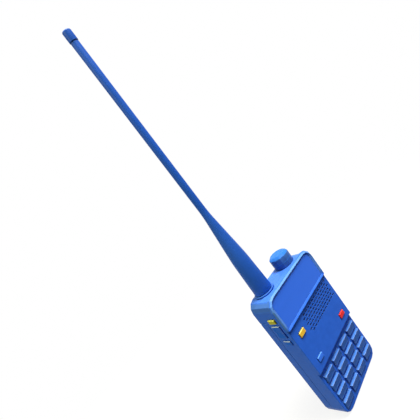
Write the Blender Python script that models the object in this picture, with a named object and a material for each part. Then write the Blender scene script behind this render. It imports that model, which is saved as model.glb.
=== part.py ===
"""Toy walkie talkie: a slim blue handset built from separate moulded pieces.

Metres, +Z up. The handset stands on its flat base at the origin, X runs to its right as the user holds it,
Y runs to its back, and its front faces -Y.
"""
import math

import bmesh
import bpy
from mathutils import Matrix

MM = 0.001

# Clearances
SEAT_GAP = 0.3 * MM
RUN_GAP = 0.3 * MM
CUT_OVERRUN = 1.0 * MM

# Housing
BODY_WIDTH = 58.0 * MM
BODY_HEIGHT = 107.2 * MM
BODY_DEPTH = 21.0 * MM
CORNER_RADIUS = 7.0 * MM
CORNER_FACETS = 3
BACK_CHAMFER = 0.8 * MM
EDGE_BREAK = 0.3 * MM
HOLE_BREAK = 0.15 * MM
SIDE_WALL = 2.0 * MM
FRONT_WALL = 1.6 * MM
CAVITY_RADIUS = 3.5 * MM
ROOM_STEP = 0.2 * MM
SHELF_LIP = 0.35 * MM

# Display bezel, window and module
BEZEL_PROUD = 1.3 * MM
BEZEL_CHAMFER = 1.5 * MM
BEZEL_THICKNESS = 2.7 * MM
BEZEL_DROP = 24.9 * MM
BEZEL_LOWER_RADIUS = 1.0 * MM
BEZEL_RIM = 0.15 * MM
BEZEL_LOWER_RIM = 0.45 * MM
POCKET_BEVEL = 1.65 * MM
POCKET_SILL = 1.35 * MM
PANE_RADIUS = 3.4 * MM
PANE_LOWER_RADIUS = 0.8 * MM
PANE_DEPTH = 0.85 * MM
PANE_THICKNESS = 1.85 * MM
PANE_LEDGE = 1.2 * MM
MODULE_THICKNESS = 2.6 * MM
MODULE_SIDE_INSET = 0.2 * MM
MODULE_END_MARGIN = 1.2 * MM
MODULE_LAP = 1.4 * MM

# Keypad
KEYPAD_HEIGHT = 42.4 * MM
KEYPAD_SETBACK = 2.5 * MM
KEY_COLUMNS = 4
KEY_ROWS = 4
KEY_SIDE_MARGIN = 2.7 * MM
KEY_LOWER_MARGIN = 5.2 * MM
KEY_UPPER_MARGIN = 4.9 * MM
KEY_GAP_X = 2.46 * MM
KEY_GAP_Z = 2.1 * MM
KEY_STAND = 2.0 * MM
KEY_SHOULDER = 0.25 * MM
KEY_TOP_BEVEL = 1.4 * MM
KEY_SIDE_BEVEL = 0.45 * MM
KEY_CORNER = 0.5 * MM
KEY_TRAVEL = 0.8 * MM

# Flanges that keep keys and buttons in the shell, and dishes in their faces
FLANGE_THICKNESS = 0.8 * MM
FLANGE_LIP = 0.8 * MM
FLANGE_SIDE_LIP = 0.15 * MM
DISH_RIM = 0.45 * MM
DISH_SLOPE = 1.0 * MM
DISH_DEPTH = 0.3 * MM

# Front buttons
BUTTON_WIDTH = 6.2 * MM
BUTTON_HEIGHT = 3.6 * MM
BUTTON_STAND = 0.8 * MM
BUTTON_BEVEL = 0.25 * MM
BUTTON_SIDE_INSET = 9.0 * MM
UPPER_BUTTON_DROP = 9.3 * MM
LOWER_BUTTON_RISE = 7.4 * MM
BUTTON_TRAVEL = 0.7 * MM
STEM_SIDE = 2.0 * MM
SWITCH_SIDE = 4.0 * MM
SWITCH_HEIGHT = 2.0 * MM

# Side buttons, placed by their middles: behind the front panel and below the top face
SIDE_BUTTON_TRAVEL = 0.7 * MM
SIDE_BUTTON_SETBACK = 6.9 * MM
SIDE_BUTTON_BEVEL = 0.4 * MM
CALL_LENGTH = 6.3 * MM
CALL_HEIGHT = 3.4 * MM
CALL_STAND = 1.1 * MM
CALL_DROP = 14.7 * MM
PTT_LENGTH = 7.0 * MM
PTT_HEIGHT = 10.8 * MM
PTT_STAND = 1.1 * MM
PTT_DROP = 23.9 * MM
MONITOR_LENGTH = 6.5 * MM
MONITOR_HEIGHT = 3.8 * MM
MONITOR_STAND = 0.9 * MM
MONITOR_DROP = 34.1 * MM
SIDE_SWITCH_HEIGHT = 0.8 * MM
SIDE_SWITCH_SIDE = 2.6 * MM
SIDE_BOARD_THICKNESS = 0.6 * MM
SIDE_BOARD_DEPTH = 4.9 * MM

# Speaker grille and speaker
GRILLE_ROWS = 7
GRILLE_PITCH_X = 3.43 * MM
GRILLE_PITCH_Z = 2.27 * MM
GRILLE_STAGGER = 1.7 * MM
GRILLE_RIGHT_MARGIN = 3.0 * MM
GRILLE_BUTTON_MARGIN = 3.0 * MM
GRILLE_DROP = 3.3 * MM
SLOT_LENGTH = 2.6 * MM
SLOT_HEIGHT = 1.0 * MM
SLOT_CORNER = 0.3 * MM
SLOT_BREAK = 0.06 * MM
CLOTH_THICKNESS = 0.4 * MM
CLOTH_MARGIN = 0.7 * MM
SPEAKER_DEPTH = 3.6 * MM
SPEAKER_WALL = 0.9 * MM
SPEAKER_HUB_RADIUS = 6.5 * MM
SPEAKER_RIM_HEIGHT = 1.4 * MM
SPEAKER_RIM_STEP = 0.5 * MM
CONE_DEPTH = 1.6 * MM
CONE_THICKNESS = 0.4 * MM
CONE_HUB_RADIUS = 4.5 * MM
MAGNET_RADIUS = 8.0 * MM
SPEAKER_HEADROOM = 0.5 * MM
SPEAKER_FOOTROOM = 8.2 * MM

# Boards and small electrics
BOARD_THICKNESS = 1.2 * MM
BOARD_LOWER_MARGIN = 3.0 * MM
BOARD_TOP_DROP = 15.2 * MM
MEMBRANE_THICKNESS = 0.8 * MM
MEMBRANE_MARGIN = 4.5 * MM
MEMBRANE_END_INSET = 1.6 * MM
DOME_RADIUS = 2.0 * MM
DOME_HEIGHT = 1.3 * MM
MICROPHONE_RADIUS = 2.2 * MM
MICROPHONE_HEIGHT = 2.2 * MM
MICROPHONE_X = -12.0 * MM
MICROPHONE_RISE = 5.0 * MM
CONNECTOR_WIDTH = 12.0 * MM
CONNECTOR_HEIGHT = 6.0 * MM
CONNECTOR_Z = 22.0 * MM

# Back plate and its fixings
PLATE_THICKNESS = 1.6 * MM
PLATE_RECESS = 0.3 * MM
REBATE_LIP = 1.2 * MM
REBATE_RADIUS = 1.0 * MM
TONGUE_WIDTH = 8.0 * MM
TONGUE_THICKNESS = 0.8 * MM
TONGUE_HEIGHT = 1.7 * MM
TONGUE_X = 12.0 * MM
POST_RADIUS = 1.6 * MM
POST_X = 12.0 * MM
POST_LOWER_Z = 12.0 * MM
POST_UPPER_DROP = 23.0 * MM
BOSS_SIDE = 6.0 * MM
SCREW_RADIUS = 0.8 * MM
SCREW_HEAD_RADIUS = 1.8 * MM
SCREW_HEAD_HEIGHT = 0.5 * MM
SCREW_LENGTH = 3.2 * MM
COUNTERBORE_DEPTH = 0.8 * MM

# Battery pack
SEAM_DEPTH = 13.8 * MM
SEAM_GAP = 0.3 * MM
PACK_DROP = 16.3 * MM
PACK_WALL = 1.6 * MM
PACK_BACK_WALL = 1.4 * MM
PACK_LEDGE = 1.2 * MM
PACK_TOP_RADIUS = 1.0 * MM
PACK_NOSE_RADIUS = 1.5 * MM
LID_THICKNESS = 1.2 * MM
CELL_SIDE_MARGIN = 6.0 * MM
CELL_END_MARGIN = 9.0 * MM
RIB_WIDTH = 3.0 * MM
RIB_X = 17.0 * MM
RIB_ENGAGEMENT = 0.5 * MM
RIB_END_MARGIN = 9.0 * MM
GRIP_COUNT = 5
GRIP_PITCH = 2.2 * MM
GRIP_HEIGHT = 1.2 * MM
GRIP_DEPTH = 0.6 * MM
GRIP_WIDTH = 24.0 * MM
GRIP_TOP_MARGIN = 5.0 * MM

# Antenna, heights above the top face
TOP_FITTINGS_SETBACK = 12.5 * MM
ANTENNA_SIDE_INSET = 13.7 * MM
COLLAR_RADIUS = 7.8 * MM
COLLAR_HEIGHT = 0.9 * MM
COLLAR_CHAMFER = 0.3 * MM
WHIP_BASE_RADIUS = 6.9 * MM
WHIP_SHOULDER_RADIUS = 5.9 * MM
WHIP_SHOULDER_HEIGHT = 30.0 * MM
WHIP_NECK_HEIGHT = 67.0 * MM
WHIP_ROD_RADIUS = 2.5 * MM
WHIP_TOP_HEIGHT = 191.9 * MM
WHIP_TENON_RADIUS = 1.5 * MM
WHIP_TENON_LENGTH = 4.0 * MM
CAP_RADIUS = 2.8 * MM
CAP_LENGTH = 7.0 * MM
CAP_CROWN = 0.9 * MM
CAP_CROWN_MIDDLE = 0.3 * MM
CAP_GROOVE = 0.3 * MM
STUD_RADIUS = 1.7 * MM
STUD_LENGTH = 19.0 * MM
STUD_ENGAGEMENT = 9.0 * MM
SOCKET_NECK_RADIUS = 3.0 * MM
SOCKET_NECK_RISE = 0.6 * MM
SOCKET_RADIUS = 4.6 * MM
SOCKET_LENGTH = 9.0 * MM

# Volume knob and potentiometer
KNOB_SIDE_INSET = 15.0 * MM
KNOB_FACETS = 12
KNOB_RADIUS = 7.9 * MM
KNOB_HEIGHT = 10.1 * MM
KNOB_CHAMFER_HEIGHT = 1.7 * MM
KNOB_CROWN_RADIUS = 5.9 * MM
KNOB_WAIST_HEIGHT = 4.0 * MM
KNOB_WAIST_GROOVE = 0.3 * MM
SHAFT_RADIUS = 2.2 * MM
SHAFT_ENGAGEMENT = 8.0 * MM
BUSHING_RADIUS = 3.4 * MM
BUSHING_RISE = 0.8 * MM
POT_SIDE = 9.6 * MM
POT_HEIGHT = 8.5 * MM
POT_FLOOR = 2.1 * MM

ROUND_SIDES = 24
BORE_SIDES = 16

# Planes worked out from the sizes above, along Y from front to back
PANEL_Y = -BODY_DEPTH / 2
BACK_Y = BODY_DEPTH / 2
BEZEL_Y = PANEL_Y - BEZEL_PROUD
PLATE_FRONT_Y = PANEL_Y + KEYPAD_SETBACK
PANE_Y = BEZEL_Y + PANE_DEPTH
LEDGE_Y = PANE_Y + PANE_THICKNESS + SEAT_GAP
DISPLAY_INNER_Y = LEDGE_Y + PANE_LEDGE
PANEL_INNER_Y = PANEL_Y + FRONT_WALL
KEYPAD_INNER_Y = PLATE_FRONT_Y + FRONT_WALL
SHELL_BACK_Y = PANEL_Y + SEAM_DEPTH - SEAM_GAP / 2
PACK_FRONT_Y = SHELL_BACK_Y + SEAM_GAP
BACK_PLATE_REAR_Y = SHELL_BACK_Y - PLATE_RECESS
BACK_PLATE_FRONT_Y = BACK_PLATE_REAR_Y - PLATE_THICKNESS
REBATE_Y = BACK_PLATE_FRONT_Y - SEAT_GAP
SHELF_FRONT_Y = REBATE_Y - SHELF_LIP
TONGUE_FRONT_Y = BACK_PLATE_FRONT_Y + (PLATE_THICKNESS - TONGUE_THICKNESS) / 2
FLANGE_FRONT_Y = KEYPAD_INNER_Y + SEAT_GAP
DOME_TOP_Y = FLANGE_FRONT_Y + FLANGE_THICKNESS + KEY_TRAVEL + SEAT_GAP
MEMBRANE_BACK_Y = DOME_TOP_Y + DOME_HEIGHT + MEMBRANE_THICKNESS
BOARD_FRONT_Y = MEMBRANE_BACK_Y + SEAT_GAP
BOARD_BACK_Y = BOARD_FRONT_Y + BOARD_THICKNESS
CLOTH_FRONT_Y = PANEL_INNER_Y + SEAT_GAP
BASKET_FRONT_Y = CLOTH_FRONT_Y + CLOTH_THICKNESS + SEAT_GAP
BASKET_BACK_Y = BASKET_FRONT_Y + SPEAKER_DEPTH
LID_FRONT_Y = PACK_FRONT_Y + SEAT_GAP
LID_BACK_Y = LID_FRONT_Y + LID_THICKNESS
PACK_LEDGE_Y = LID_BACK_Y + SEAT_GAP
PACK_FLOOR_Y = BACK_Y - PACK_BACK_WALL
RIB_FRONT_Y = BACK_PLATE_REAR_Y - RIB_ENGAGEMENT
TOP_FITTINGS_Y = PANEL_Y + TOP_FITTINGS_SETBACK

# Heights worked out from the sizes above
HALF_WIDTH = BODY_WIDTH / 2
CAVITY_TOP = BODY_HEIGHT - SIDE_WALL
CAVITY_HALF = HALF_WIDTH - SIDE_WALL
PACK_TOP = BODY_HEIGHT - PACK_DROP
PACK_BAY_TOP = PACK_TOP + SEAM_GAP
SHELF_TOP = PACK_BAY_TOP + SIDE_WALL
REBATE_TOP = PACK_BAY_TOP - REBATE_LIP
BACK_PLATE_TOP = REBATE_TOP - SEAT_GAP
BEZEL_BOTTOM = BODY_HEIGHT - BEZEL_DROP
BEZEL_TOP = BODY_HEIGHT + BEZEL_PROUD
BEZEL_HALF = HALF_WIDTH + BEZEL_PROUD
POCKET_RADIUS = CORNER_RADIUS + BEZEL_PROUD - BEZEL_CHAMFER - BEZEL_RIM
PANE_HALF = BEZEL_HALF - BEZEL_CHAMFER - BEZEL_RIM - POCKET_BEVEL
PANE_TOP = BEZEL_TOP - BEZEL_CHAMFER - BEZEL_RIM - POCKET_BEVEL
PANE_BOTTOM = BEZEL_BOTTOM + BEZEL_LOWER_RIM + POCKET_SILL
SPEAKER_ROOM_TOP = BEZEL_BOTTOM - FRONT_WALL
SPEAKER_ROOM_BOTTOM = KEYPAD_HEIGHT + FRONT_WALL
SIDE_FLANGE_X = -CAVITY_HALF + SEAT_GAP
SIDE_SWITCH_X = SIDE_FLANGE_X + FLANGE_THICKNESS + SIDE_BUTTON_TRAVEL + SEAT_GAP
SIDE_BOARD_X = SIDE_SWITCH_X + SIDE_SWITCH_HEIGHT
SIDE_BOARD_INNER_X = SIDE_BOARD_X + SIDE_BOARD_THICKNESS
BOARD_HALF = -SIDE_BOARD_INNER_X - SEAT_GAP
MODULE_HALF = BOARD_HALF - MODULE_SIDE_INSET
MODULE_BOTTOM = PANE_BOTTOM + MODULE_END_MARGIN
MODULE_TOP = CAVITY_TOP - SEAT_GAP
BOARD_TOP = BODY_HEIGHT - BOARD_TOP_DROP
KEY_WIDTH = (BODY_WIDTH - 2 * KEY_SIDE_MARGIN - (KEY_COLUMNS - 1) * KEY_GAP_X) / KEY_COLUMNS
KEY_HEIGHT = (KEYPAD_HEIGHT - KEY_LOWER_MARGIN - KEY_UPPER_MARGIN - (KEY_ROWS - 1) * KEY_GAP_Z) / KEY_ROWS
KEY_PITCH_X = KEY_WIDTH + KEY_GAP_X
KEY_PITCH_Z = KEY_HEIGHT + KEY_GAP_Z
KEYS_TOP = KEYPAD_HEIGHT - KEY_UPPER_MARGIN
UPPER_BUTTON_Z = BEZEL_BOTTOM - UPPER_BUTTON_DROP
LOWER_BUTTON_Z = KEYPAD_HEIGHT + LOWER_BUTTON_RISE
BUTTON_X = HALF_WIDTH - BUTTON_SIDE_INSET
ANTENNA_X = ANTENNA_SIDE_INSET - HALF_WIDTH
KNOB_X = HALF_WIDTH - KNOB_SIDE_INSET
SIDE_BUTTON_Y = PANEL_Y + SIDE_BUTTON_SETBACK
GRILLE_TOP = BEZEL_BOTTOM - GRILLE_DROP
GRILLE_BOTTOM = GRILLE_TOP - (GRILLE_ROWS - 1) * GRILLE_PITCH_Z
GRILLE_LAST_X = HALF_WIDTH - GRILLE_RIGHT_MARGIN - SLOT_LENGTH / 2
GRILLE_LIMIT_X = -BUTTON_X + BUTTON_WIDTH / 2 + GRILLE_BUTTON_MARGIN + SLOT_LENGTH / 2 + GRILLE_STAGGER
GRILLE_COLUMNS = math.floor((GRILLE_LAST_X - GRILLE_LIMIT_X) / GRILLE_PITCH_X) + 1
GRILLE_FIRST_X = GRILLE_LAST_X - (GRILLE_COLUMNS - 1) * GRILLE_PITCH_X - GRILLE_STAGGER
GRILLE_MIDDLE_X = (GRILLE_FIRST_X + GRILLE_LAST_X) / 2
SPEAKER_RADIUS = (SPEAKER_ROOM_TOP - SPEAKER_HEADROOM - SPEAKER_ROOM_BOTTOM - SPEAKER_FOOTROOM) / 2
SPEAKER_Z = SPEAKER_ROOM_TOP - SPEAKER_HEADROOM - SPEAKER_RADIUS
SCREW_X = CAVITY_HALF - BOSS_SIDE / 2
SCREW_Z = SIDE_WALL + BOSS_SIDE / 2
RIB_BOTTOM = RIB_END_MARGIN
RIB_TOP = PACK_TOP - RIB_END_MARGIN

# Frames for pieces drawn flat and raised towards the viewer: (across, up, out)
FRONT_TURN = Matrix.Rotation(math.radians(90), 4, "X")
LEFT_TURN = Matrix.Rotation(math.radians(-90), 4, "Z") @ FRONT_TURN


def srgb(red, green, blue):
    """Linear colour of 8-bit screen values."""
    def channel(value):
        share = value / 255
        if share <= 0.04045:
            return share / 12.92
        return ((share + 0.055) / 1.055) ** 2.4
    return (channel(red), channel(green), channel(blue), 1.0)


# Finishes: colour, roughness and metallic value
BODY_BLUE = (srgb(52, 96, 196), 0.42, 0.0)
KEY_BLUE = (srgb(38, 84, 170), 0.25, 0.0)
PANE_BLUE = (srgb(57, 103, 210), 0.15, 0.0)
ANTENNA_BLUE = (srgb(50, 92, 190), 0.5, 0.0)
YELLOW = (srgb(228, 178, 52), 0.35, 0.0)
RED = (srgb(226, 48, 44), 0.35, 0.0)
LIGHT_BLUE = (srgb(62, 118, 228), 0.35, 0.0)
DARK_CLOTH = (srgb(22, 26, 52), 0.95, 0.0)
BOARD_GREEN = (srgb(24, 92, 58), 0.5, 0.0)
RUBBER = (srgb(70, 72, 78), 0.8, 0.0)
BLACK_PLASTIC = (srgb(28, 28, 32), 0.55, 0.0)
PAPER_CONE = (srgb(46, 44, 42), 0.9, 0.0)
STEEL = (srgb(170, 172, 176), 0.35, 1.0)
BRASS = (srgb(196, 160, 84), 0.35, 1.0)
GLASS_GREY = (srgb(120, 132, 128), 0.2, 0.0)
CELL_SILVER = (srgb(160, 164, 170), 0.4, 0.3)


def clear_scene():
    """Take every object out of the scene."""
    for old in list(bpy.data.objects):
        bpy.data.objects.remove(old, do_unlink=True)


def box_outline(left, right, low, high, corner=0.0, facets=1):
    """Rectangle seen from the front, anticlockwise, with all its corners rounded alike."""
    return corner_outline(left, right, low, high, corner, corner, facets)


def corner_outline(left, right, low, high, low_radius, high_radius, facets):
    """Rectangle with one radius at its lower corners and another at its upper ones."""
    corners = (
        (right, low, low_radius, -90),
        (right, high, high_radius, 0),
        (left, high, high_radius, 90),
        (left, low, low_radius, 180),
    )
    points = []
    for x, z, radius, start in corners:
        if radius <= 0.0:
            points.append((x, z))
            continue
        middle_x = x - math.copysign(radius, x - (left + right) / 2)
        middle_z = z - math.copysign(radius, z - (low + high) / 2)
        for step in range(facets + 1):
            angle = math.radians(start + 90 * step / facets)
            points.append((middle_x + radius * math.cos(angle), middle_z + radius * math.sin(angle)))
    return points


def body_outline(inset=0.0):
    """Front outline of the housing, drawn in by an inset."""
    half = HALF_WIDTH - inset
    return box_outline(-half, half, inset, BODY_HEIGHT - inset, CORNER_RADIUS - inset, CORNER_FACETS)


def pack_outline(inset=0.0, top_radius=PACK_TOP_RADIUS):
    """Front outline of the battery pack: the housing's lower corners and a nearly square top."""
    half = HALF_WIDTH - inset
    high = PACK_TOP - inset
    return corner_outline(-half, half, inset, high, CORNER_RADIUS - inset, top_radius, CORNER_FACETS)


def loft(sections):
    """Closed mesh through outlines of equal length, given as (outline, height out) from the back."""
    mesh = bmesh.new()
    rings = []
    for outline, out in sections:
        rings.append([mesh.verts.new((x, z, out)) for x, z in outline])
    count = len(rings[0])
    for low, high in zip(rings, rings[1:]):
        for index in range(count):
            after = (index + 1) % count
            mesh.faces.new((low[index], low[after], high[after], high[index]))
    mesh.faces.new(list(reversed(rings[0])))
    mesh.faces.new(rings[-1])
    return mesh


def turned(profile, sides, closed=False):
    """Mesh turned about the height axis from (radius, height) points that run up the outside.

    An open profile gets a flat cap at each end, so one that starts inside a bore leaves the bore open.
    """
    mesh = bmesh.new()
    rings = []
    for radius, height in profile:
        ring = []
        for step in range(sides):
            angle = 2 * math.pi * (step + 0.5) / sides
            ring.append(mesh.verts.new((radius * math.cos(angle), radius * math.sin(angle), height)))
        rings.append(ring)
    pairs = list(zip(rings, rings[1:]))
    if closed:
        pairs.append((rings[-1], rings[0]))
    for low, high in pairs:
        for index in range(sides):
            after = (index + 1) % sides
            mesh.faces.new((low[index], low[after], high[after], high[index]))
    if not closed:
        mesh.faces.new(list(reversed(rings[0])))
        mesh.faces.new(rings[-1])
    return mesh


def block(low, high):
    """Box between two corners."""
    size = [top - bottom for bottom, top in zip(low, high)]
    middle = [(top + bottom) / 2 for bottom, top in zip(low, high)]
    mesh = bmesh.new()
    bmesh.ops.create_cube(mesh, size=1.0, matrix=Matrix.Translation(middle) @ Matrix.Diagonal((*size, 1.0)))
    return mesh


def joined(meshes):
    """Several separate meshes in one."""
    whole = bmesh.new()
    for part in meshes:
        copy = bpy.data.meshes.new("copy")
        part.to_mesh(copy)
        part.free()
        whole.from_mesh(copy)
        bpy.data.meshes.remove(copy)
    return whole


def placed(mesh, matrix):
    """The same mesh moved and turned by a matrix."""
    bmesh.ops.transform(mesh, matrix=matrix, verts=mesh.verts)
    return mesh


def front_cut(outline, front, back):
    """Cutter with a front outline, from one Y plane to another behind it."""
    return placed(loft([(outline, -back), (outline, -front)]), FRONT_TURN)


def flared_cut(x, z, width, height, corner, surface, back, edge=HOLE_BREAK):
    """Cutter for a hole through a front wall, about a middle, with its edge broken at the wall's surface."""
    mouth = 2 * edge
    return placed(loft([
        (around(x, z, width, height, 0.0, corner), -back),
        (around(x, z, width, height, 0.0, corner), -surface - edge),
        (around(x, z, width, height, mouth, corner + mouth), -surface + edge),
    ]), FRONT_TURN)


def side_cut(outline, half):
    """Cutter with an outline seen from the left, across (-Y) and up, that runs through from side to side."""
    return placed(loft([(outline, -half), (outline, half)]), LEFT_TURN)


def upright_cut(x, y, radius, low, high):
    """Round cutter standing on the height axis."""
    return placed(turned([(radius, low), (radius, high)], BORE_SIDES), Matrix.Translation((x, y, 0.0)))


def add_object(name, mesh, matrix=Matrix.Identity(4)):
    """Object holding a mesh, placed by a matrix."""
    data = bpy.data.meshes.new(name)
    bmesh.ops.recalc_face_normals(mesh, faces=mesh.faces)
    mesh.to_mesh(data)
    mesh.free()
    item = bpy.data.objects.new(name, data)
    bpy.context.scene.collection.objects.link(item)
    item.matrix_world = matrix
    return item


def add_copy(name, source, matrix):
    """Object that shares another's mesh."""
    item = bpy.data.objects.new(name, source.data)
    bpy.context.scene.collection.objects.link(item)
    item.matrix_world = matrix
    return item


def combine(item, mesh, operation):
    """Cut a mesh out of an object, or join one on, and keep the result as the object's own mesh."""
    tool = add_object("tool", mesh)
    tool.hide_render = True
    tool.display_type = "WIRE"
    step = item.modifiers.new(operation.title(), "BOOLEAN")
    step.operation = operation
    step.solver = "EXACT"
    step.object = tool
    bpy.context.view_layer.update()
    result = bpy.data.meshes.new_from_object(item.evaluated_get(bpy.context.evaluated_depsgraph_get()))
    result.name = item.name
    item.modifiers.clear()
    old = item.data
    item.data = result
    bpy.data.meshes.remove(old)
    bpy.data.objects.remove(tool, do_unlink=True)


def cut(item, mesh):
    """Cut a mesh out of an object."""
    combine(item, mesh, "DIFFERENCE")


def join(item, mesh):
    """Join a mesh onto an object."""
    combine(item, mesh, "UNION")


def dress(item, finish, smooth_angle=None):
    """Give an object its own material, and smooth shading where it is round."""
    colour, roughness, metallic = finish
    material = bpy.data.materials.new(item.name)
    material.use_nodes = True
    shader = material.node_tree.nodes["Principled BSDF"]
    shader.inputs["Base Color"].default_value = colour
    shader.inputs["Roughness"].default_value = roughness
    shader.inputs["Metallic"].default_value = metallic
    if not item.data.materials:
        item.data.materials.append(None)
    slot = item.material_slots[0]
    slot.link = "OBJECT"
    slot.material = material
    if smooth_angle is not None:
        item.data.shade_smooth()
        item.data.set_sharp_from_angle(angle=math.radians(smooth_angle))
    return item


def key_middles():
    """(row, column, x, z) of every key, from the top left."""
    for row in range(KEY_ROWS):
        for column in range(KEY_COLUMNS):
            x = (column - (KEY_COLUMNS - 1) / 2) * KEY_PITCH_X
            z = KEYS_TOP - KEY_HEIGHT / 2 - row * KEY_PITCH_Z
            yield row + 1, column + 1, x, z


def front_buttons():
    """(name, x, z, finish) of the three small front buttons."""
    return (
        ("yellow_button", -BUTTON_X, UPPER_BUTTON_Z, YELLOW),
        ("blue_button", -BUTTON_X, LOWER_BUTTON_Z, LIGHT_BLUE),
        ("red_button", BUTTON_X, LOWER_BUTTON_Z, RED),
    )


def side_buttons():
    """(name, length, height, stand, z, dished, finish) of the three buttons on the left side."""
    return (
        ("call_button", CALL_LENGTH, CALL_HEIGHT, CALL_STAND, BODY_HEIGHT - CALL_DROP, False, YELLOW),
        ("ptt_button", PTT_LENGTH, PTT_HEIGHT, PTT_STAND, BODY_HEIGHT - PTT_DROP, True, KEY_BLUE),
        ("monitor_button", MONITOR_LENGTH, MONITOR_HEIGHT, MONITOR_STAND, BODY_HEIGHT - MONITOR_DROP, False,
         BODY_BLUE),
    )


def bezel_section(inset, rise=0.0):
    """Outline of the display bezel, drawn in at its top and sides, with its lower edge raised by a rise."""
    half = BEZEL_HALF - inset
    high_radius = CORNER_RADIUS + BEZEL_PROUD - inset
    return corner_outline(-half, half, BEZEL_BOTTOM + rise, BEZEL_TOP - inset, BEZEL_LOWER_RADIUS, high_radius,
                          CORNER_FACETS)


def pocket_section(share):
    """Outline on the display pocket's bevel: share 0 is the pane's edge, share 1 lies in the bezel's face."""
    half = PANE_HALF + share * POCKET_BEVEL
    high_radius = PANE_RADIUS + share * (POCKET_RADIUS - PANE_RADIUS)
    return corner_outline(-half, half, PANE_BOTTOM - share * POCKET_SILL, PANE_TOP + share * POCKET_BEVEL,
                          PANE_LOWER_RADIUS, high_radius, CORNER_FACETS)


def keypad_edge_cut():
    """Cutter that breaks the keypad plate's outer edge: a wedge swept down, round the base and up again."""
    top = KEYPAD_HEIGHT - HOLE_BREAK
    front = -PLATE_FRONT_Y
    wedge = ((2 * EDGE_BREAK, EDGE_BREAK), (-EDGE_BREAK, -2 * EDGE_BREAK), (-EDGE_BREAK, EDGE_BREAK))
    mesh = bmesh.new()
    tracks = []
    for inset, rise in wedge:
        half = HALF_WIDTH - inset
        outline = corner_outline(-half, half, inset, top, CORNER_RADIUS - inset, 0.0, CORNER_FACETS)
        left_end = CORNER_FACETS + 2
        open_path = outline[left_end:] + outline[:left_end]
        tracks.append([mesh.verts.new((x, z, front + rise)) for x, z in open_path])
    for track, beside in zip(tracks, tracks[1:] + tracks[:1]):
        for first, second, over, back in zip(track, track[1:], beside[1:], beside):
            mesh.faces.new((first, second, over, back))
    mesh.faces.new([track[0] for track in tracks])
    mesh.faces.new([track[-1] for track in reversed(tracks)])
    return placed(mesh, FRONT_TURN)


def step_edge_cut(half):
    """Cutter that breaks the front panel's lower edge above the keypad."""
    out = -PANEL_Y + EDGE_BREAK
    low = KEYPAD_HEIGHT - EDGE_BREAK
    reach = 3 * EDGE_BREAK
    return side_cut([(out, low), (out, low + reach), (out - reach, low)], half)


def shell_outer_form(shell):
    """Join the bezel on, then cut the keypad step and the bay for the battery pack."""
    bezel = loft([
        (bezel_section(0.0), -BEZEL_Y - BEZEL_THICKNESS),
        (bezel_section(0.0), -BEZEL_Y - BEZEL_CHAMFER),
        (bezel_section(BEZEL_CHAMFER - HOLE_BREAK), -BEZEL_Y - HOLE_BREAK),
        (bezel_section(BEZEL_CHAMFER, HOLE_BREAK), -BEZEL_Y),
    ])
    join(shell, placed(bezel, FRONT_TURN))
    wide = BEZEL_HALF + CUT_OVERRUN
    cut(shell, block((-wide, BEZEL_Y, -CUT_OVERRUN), (wide, PLATE_FRONT_Y, KEYPAD_HEIGHT)))
    cut(shell, keypad_edge_cut())
    cut(shell, step_edge_cut(wide))
    nose = PACK_NOSE_RADIUS + SEAM_GAP
    bay = corner_outline(-BACK_Y - CUT_OVERRUN - nose, -SHELL_BACK_Y, -CUT_OVERRUN, PACK_BAY_TOP, 0.0, nose,
                         CORNER_FACETS)
    cut(shell, side_cut(bay, wide))


def shell_cavities(shell):
    """Hollow the shell, leaving screw bosses in the lower corners and a shelf above the back plate.

    Rooms that meet differ by a small step, so that no two of their walls lie in one plane.
    """
    rebate_half = HALF_WIDTH - REBATE_LIP
    rebate = corner_outline(-rebate_half, rebate_half, REBATE_LIP, REBATE_TOP, CORNER_RADIUS - REBATE_LIP,
                            REBATE_RADIUS, CORNER_FACETS)
    cut(shell, front_cut(rebate, REBATE_Y, SHELL_BACK_Y + CUT_OVERRUN))
    half = CAVITY_HALF
    main_room = corner_outline(-half, half, SPEAKER_ROOM_BOTTOM, CAVITY_TOP, 0.0, CAVITY_RADIUS, CORNER_FACETS)
    cut(shell, front_cut(main_room, DISPLAY_INNER_Y, SHELF_FRONT_Y))
    half = CAVITY_HALF - ROOM_STEP
    speaker_room = box_outline(-half, half, SPEAKER_ROOM_BOTTOM + ROOM_STEP, SPEAKER_ROOM_TOP)
    cut(shell, front_cut(speaker_room, PANEL_INNER_Y, DISPLAY_INNER_Y + CUT_OVERRUN))
    key_room = corner_outline(-half, half, SIDE_WALL, SPEAKER_ROOM_BOTTOM + CUT_OVERRUN, CAVITY_RADIUS, 0.0,
                              CORNER_FACETS)
    cut(shell, front_cut(key_room, KEYPAD_INNER_Y, BOARD_FRONT_Y))
    block_room = corner_outline(-half, half, SHELF_TOP, CAVITY_TOP - ROOM_STEP, 0.0, CAVITY_RADIUS,
                                CORNER_FACETS)
    cut(shell, front_cut(block_room, SHELF_FRONT_Y - CUT_OVERRUN, BACK_Y - SIDE_WALL))
    half = CAVITY_HALF - 2 * ROOM_STEP
    board_room = box_outline(-half, half, SIDE_WALL + BOSS_SIDE, REBATE_TOP - REBATE_LIP)
    cut(shell, front_cut(board_room, BOARD_FRONT_Y - CUT_OVERRUN, REBATE_Y + CUT_OVERRUN / 2))
    half = CAVITY_HALF - BOSS_SIDE
    foot_room = box_outline(-half, half, SIDE_WALL + ROOM_STEP, SIDE_WALL + BOSS_SIDE + CUT_OVERRUN)
    cut(shell, front_cut(foot_room, BOARD_FRONT_Y - CUT_OVERRUN / 2, REBATE_Y + CUT_OVERRUN))


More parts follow.
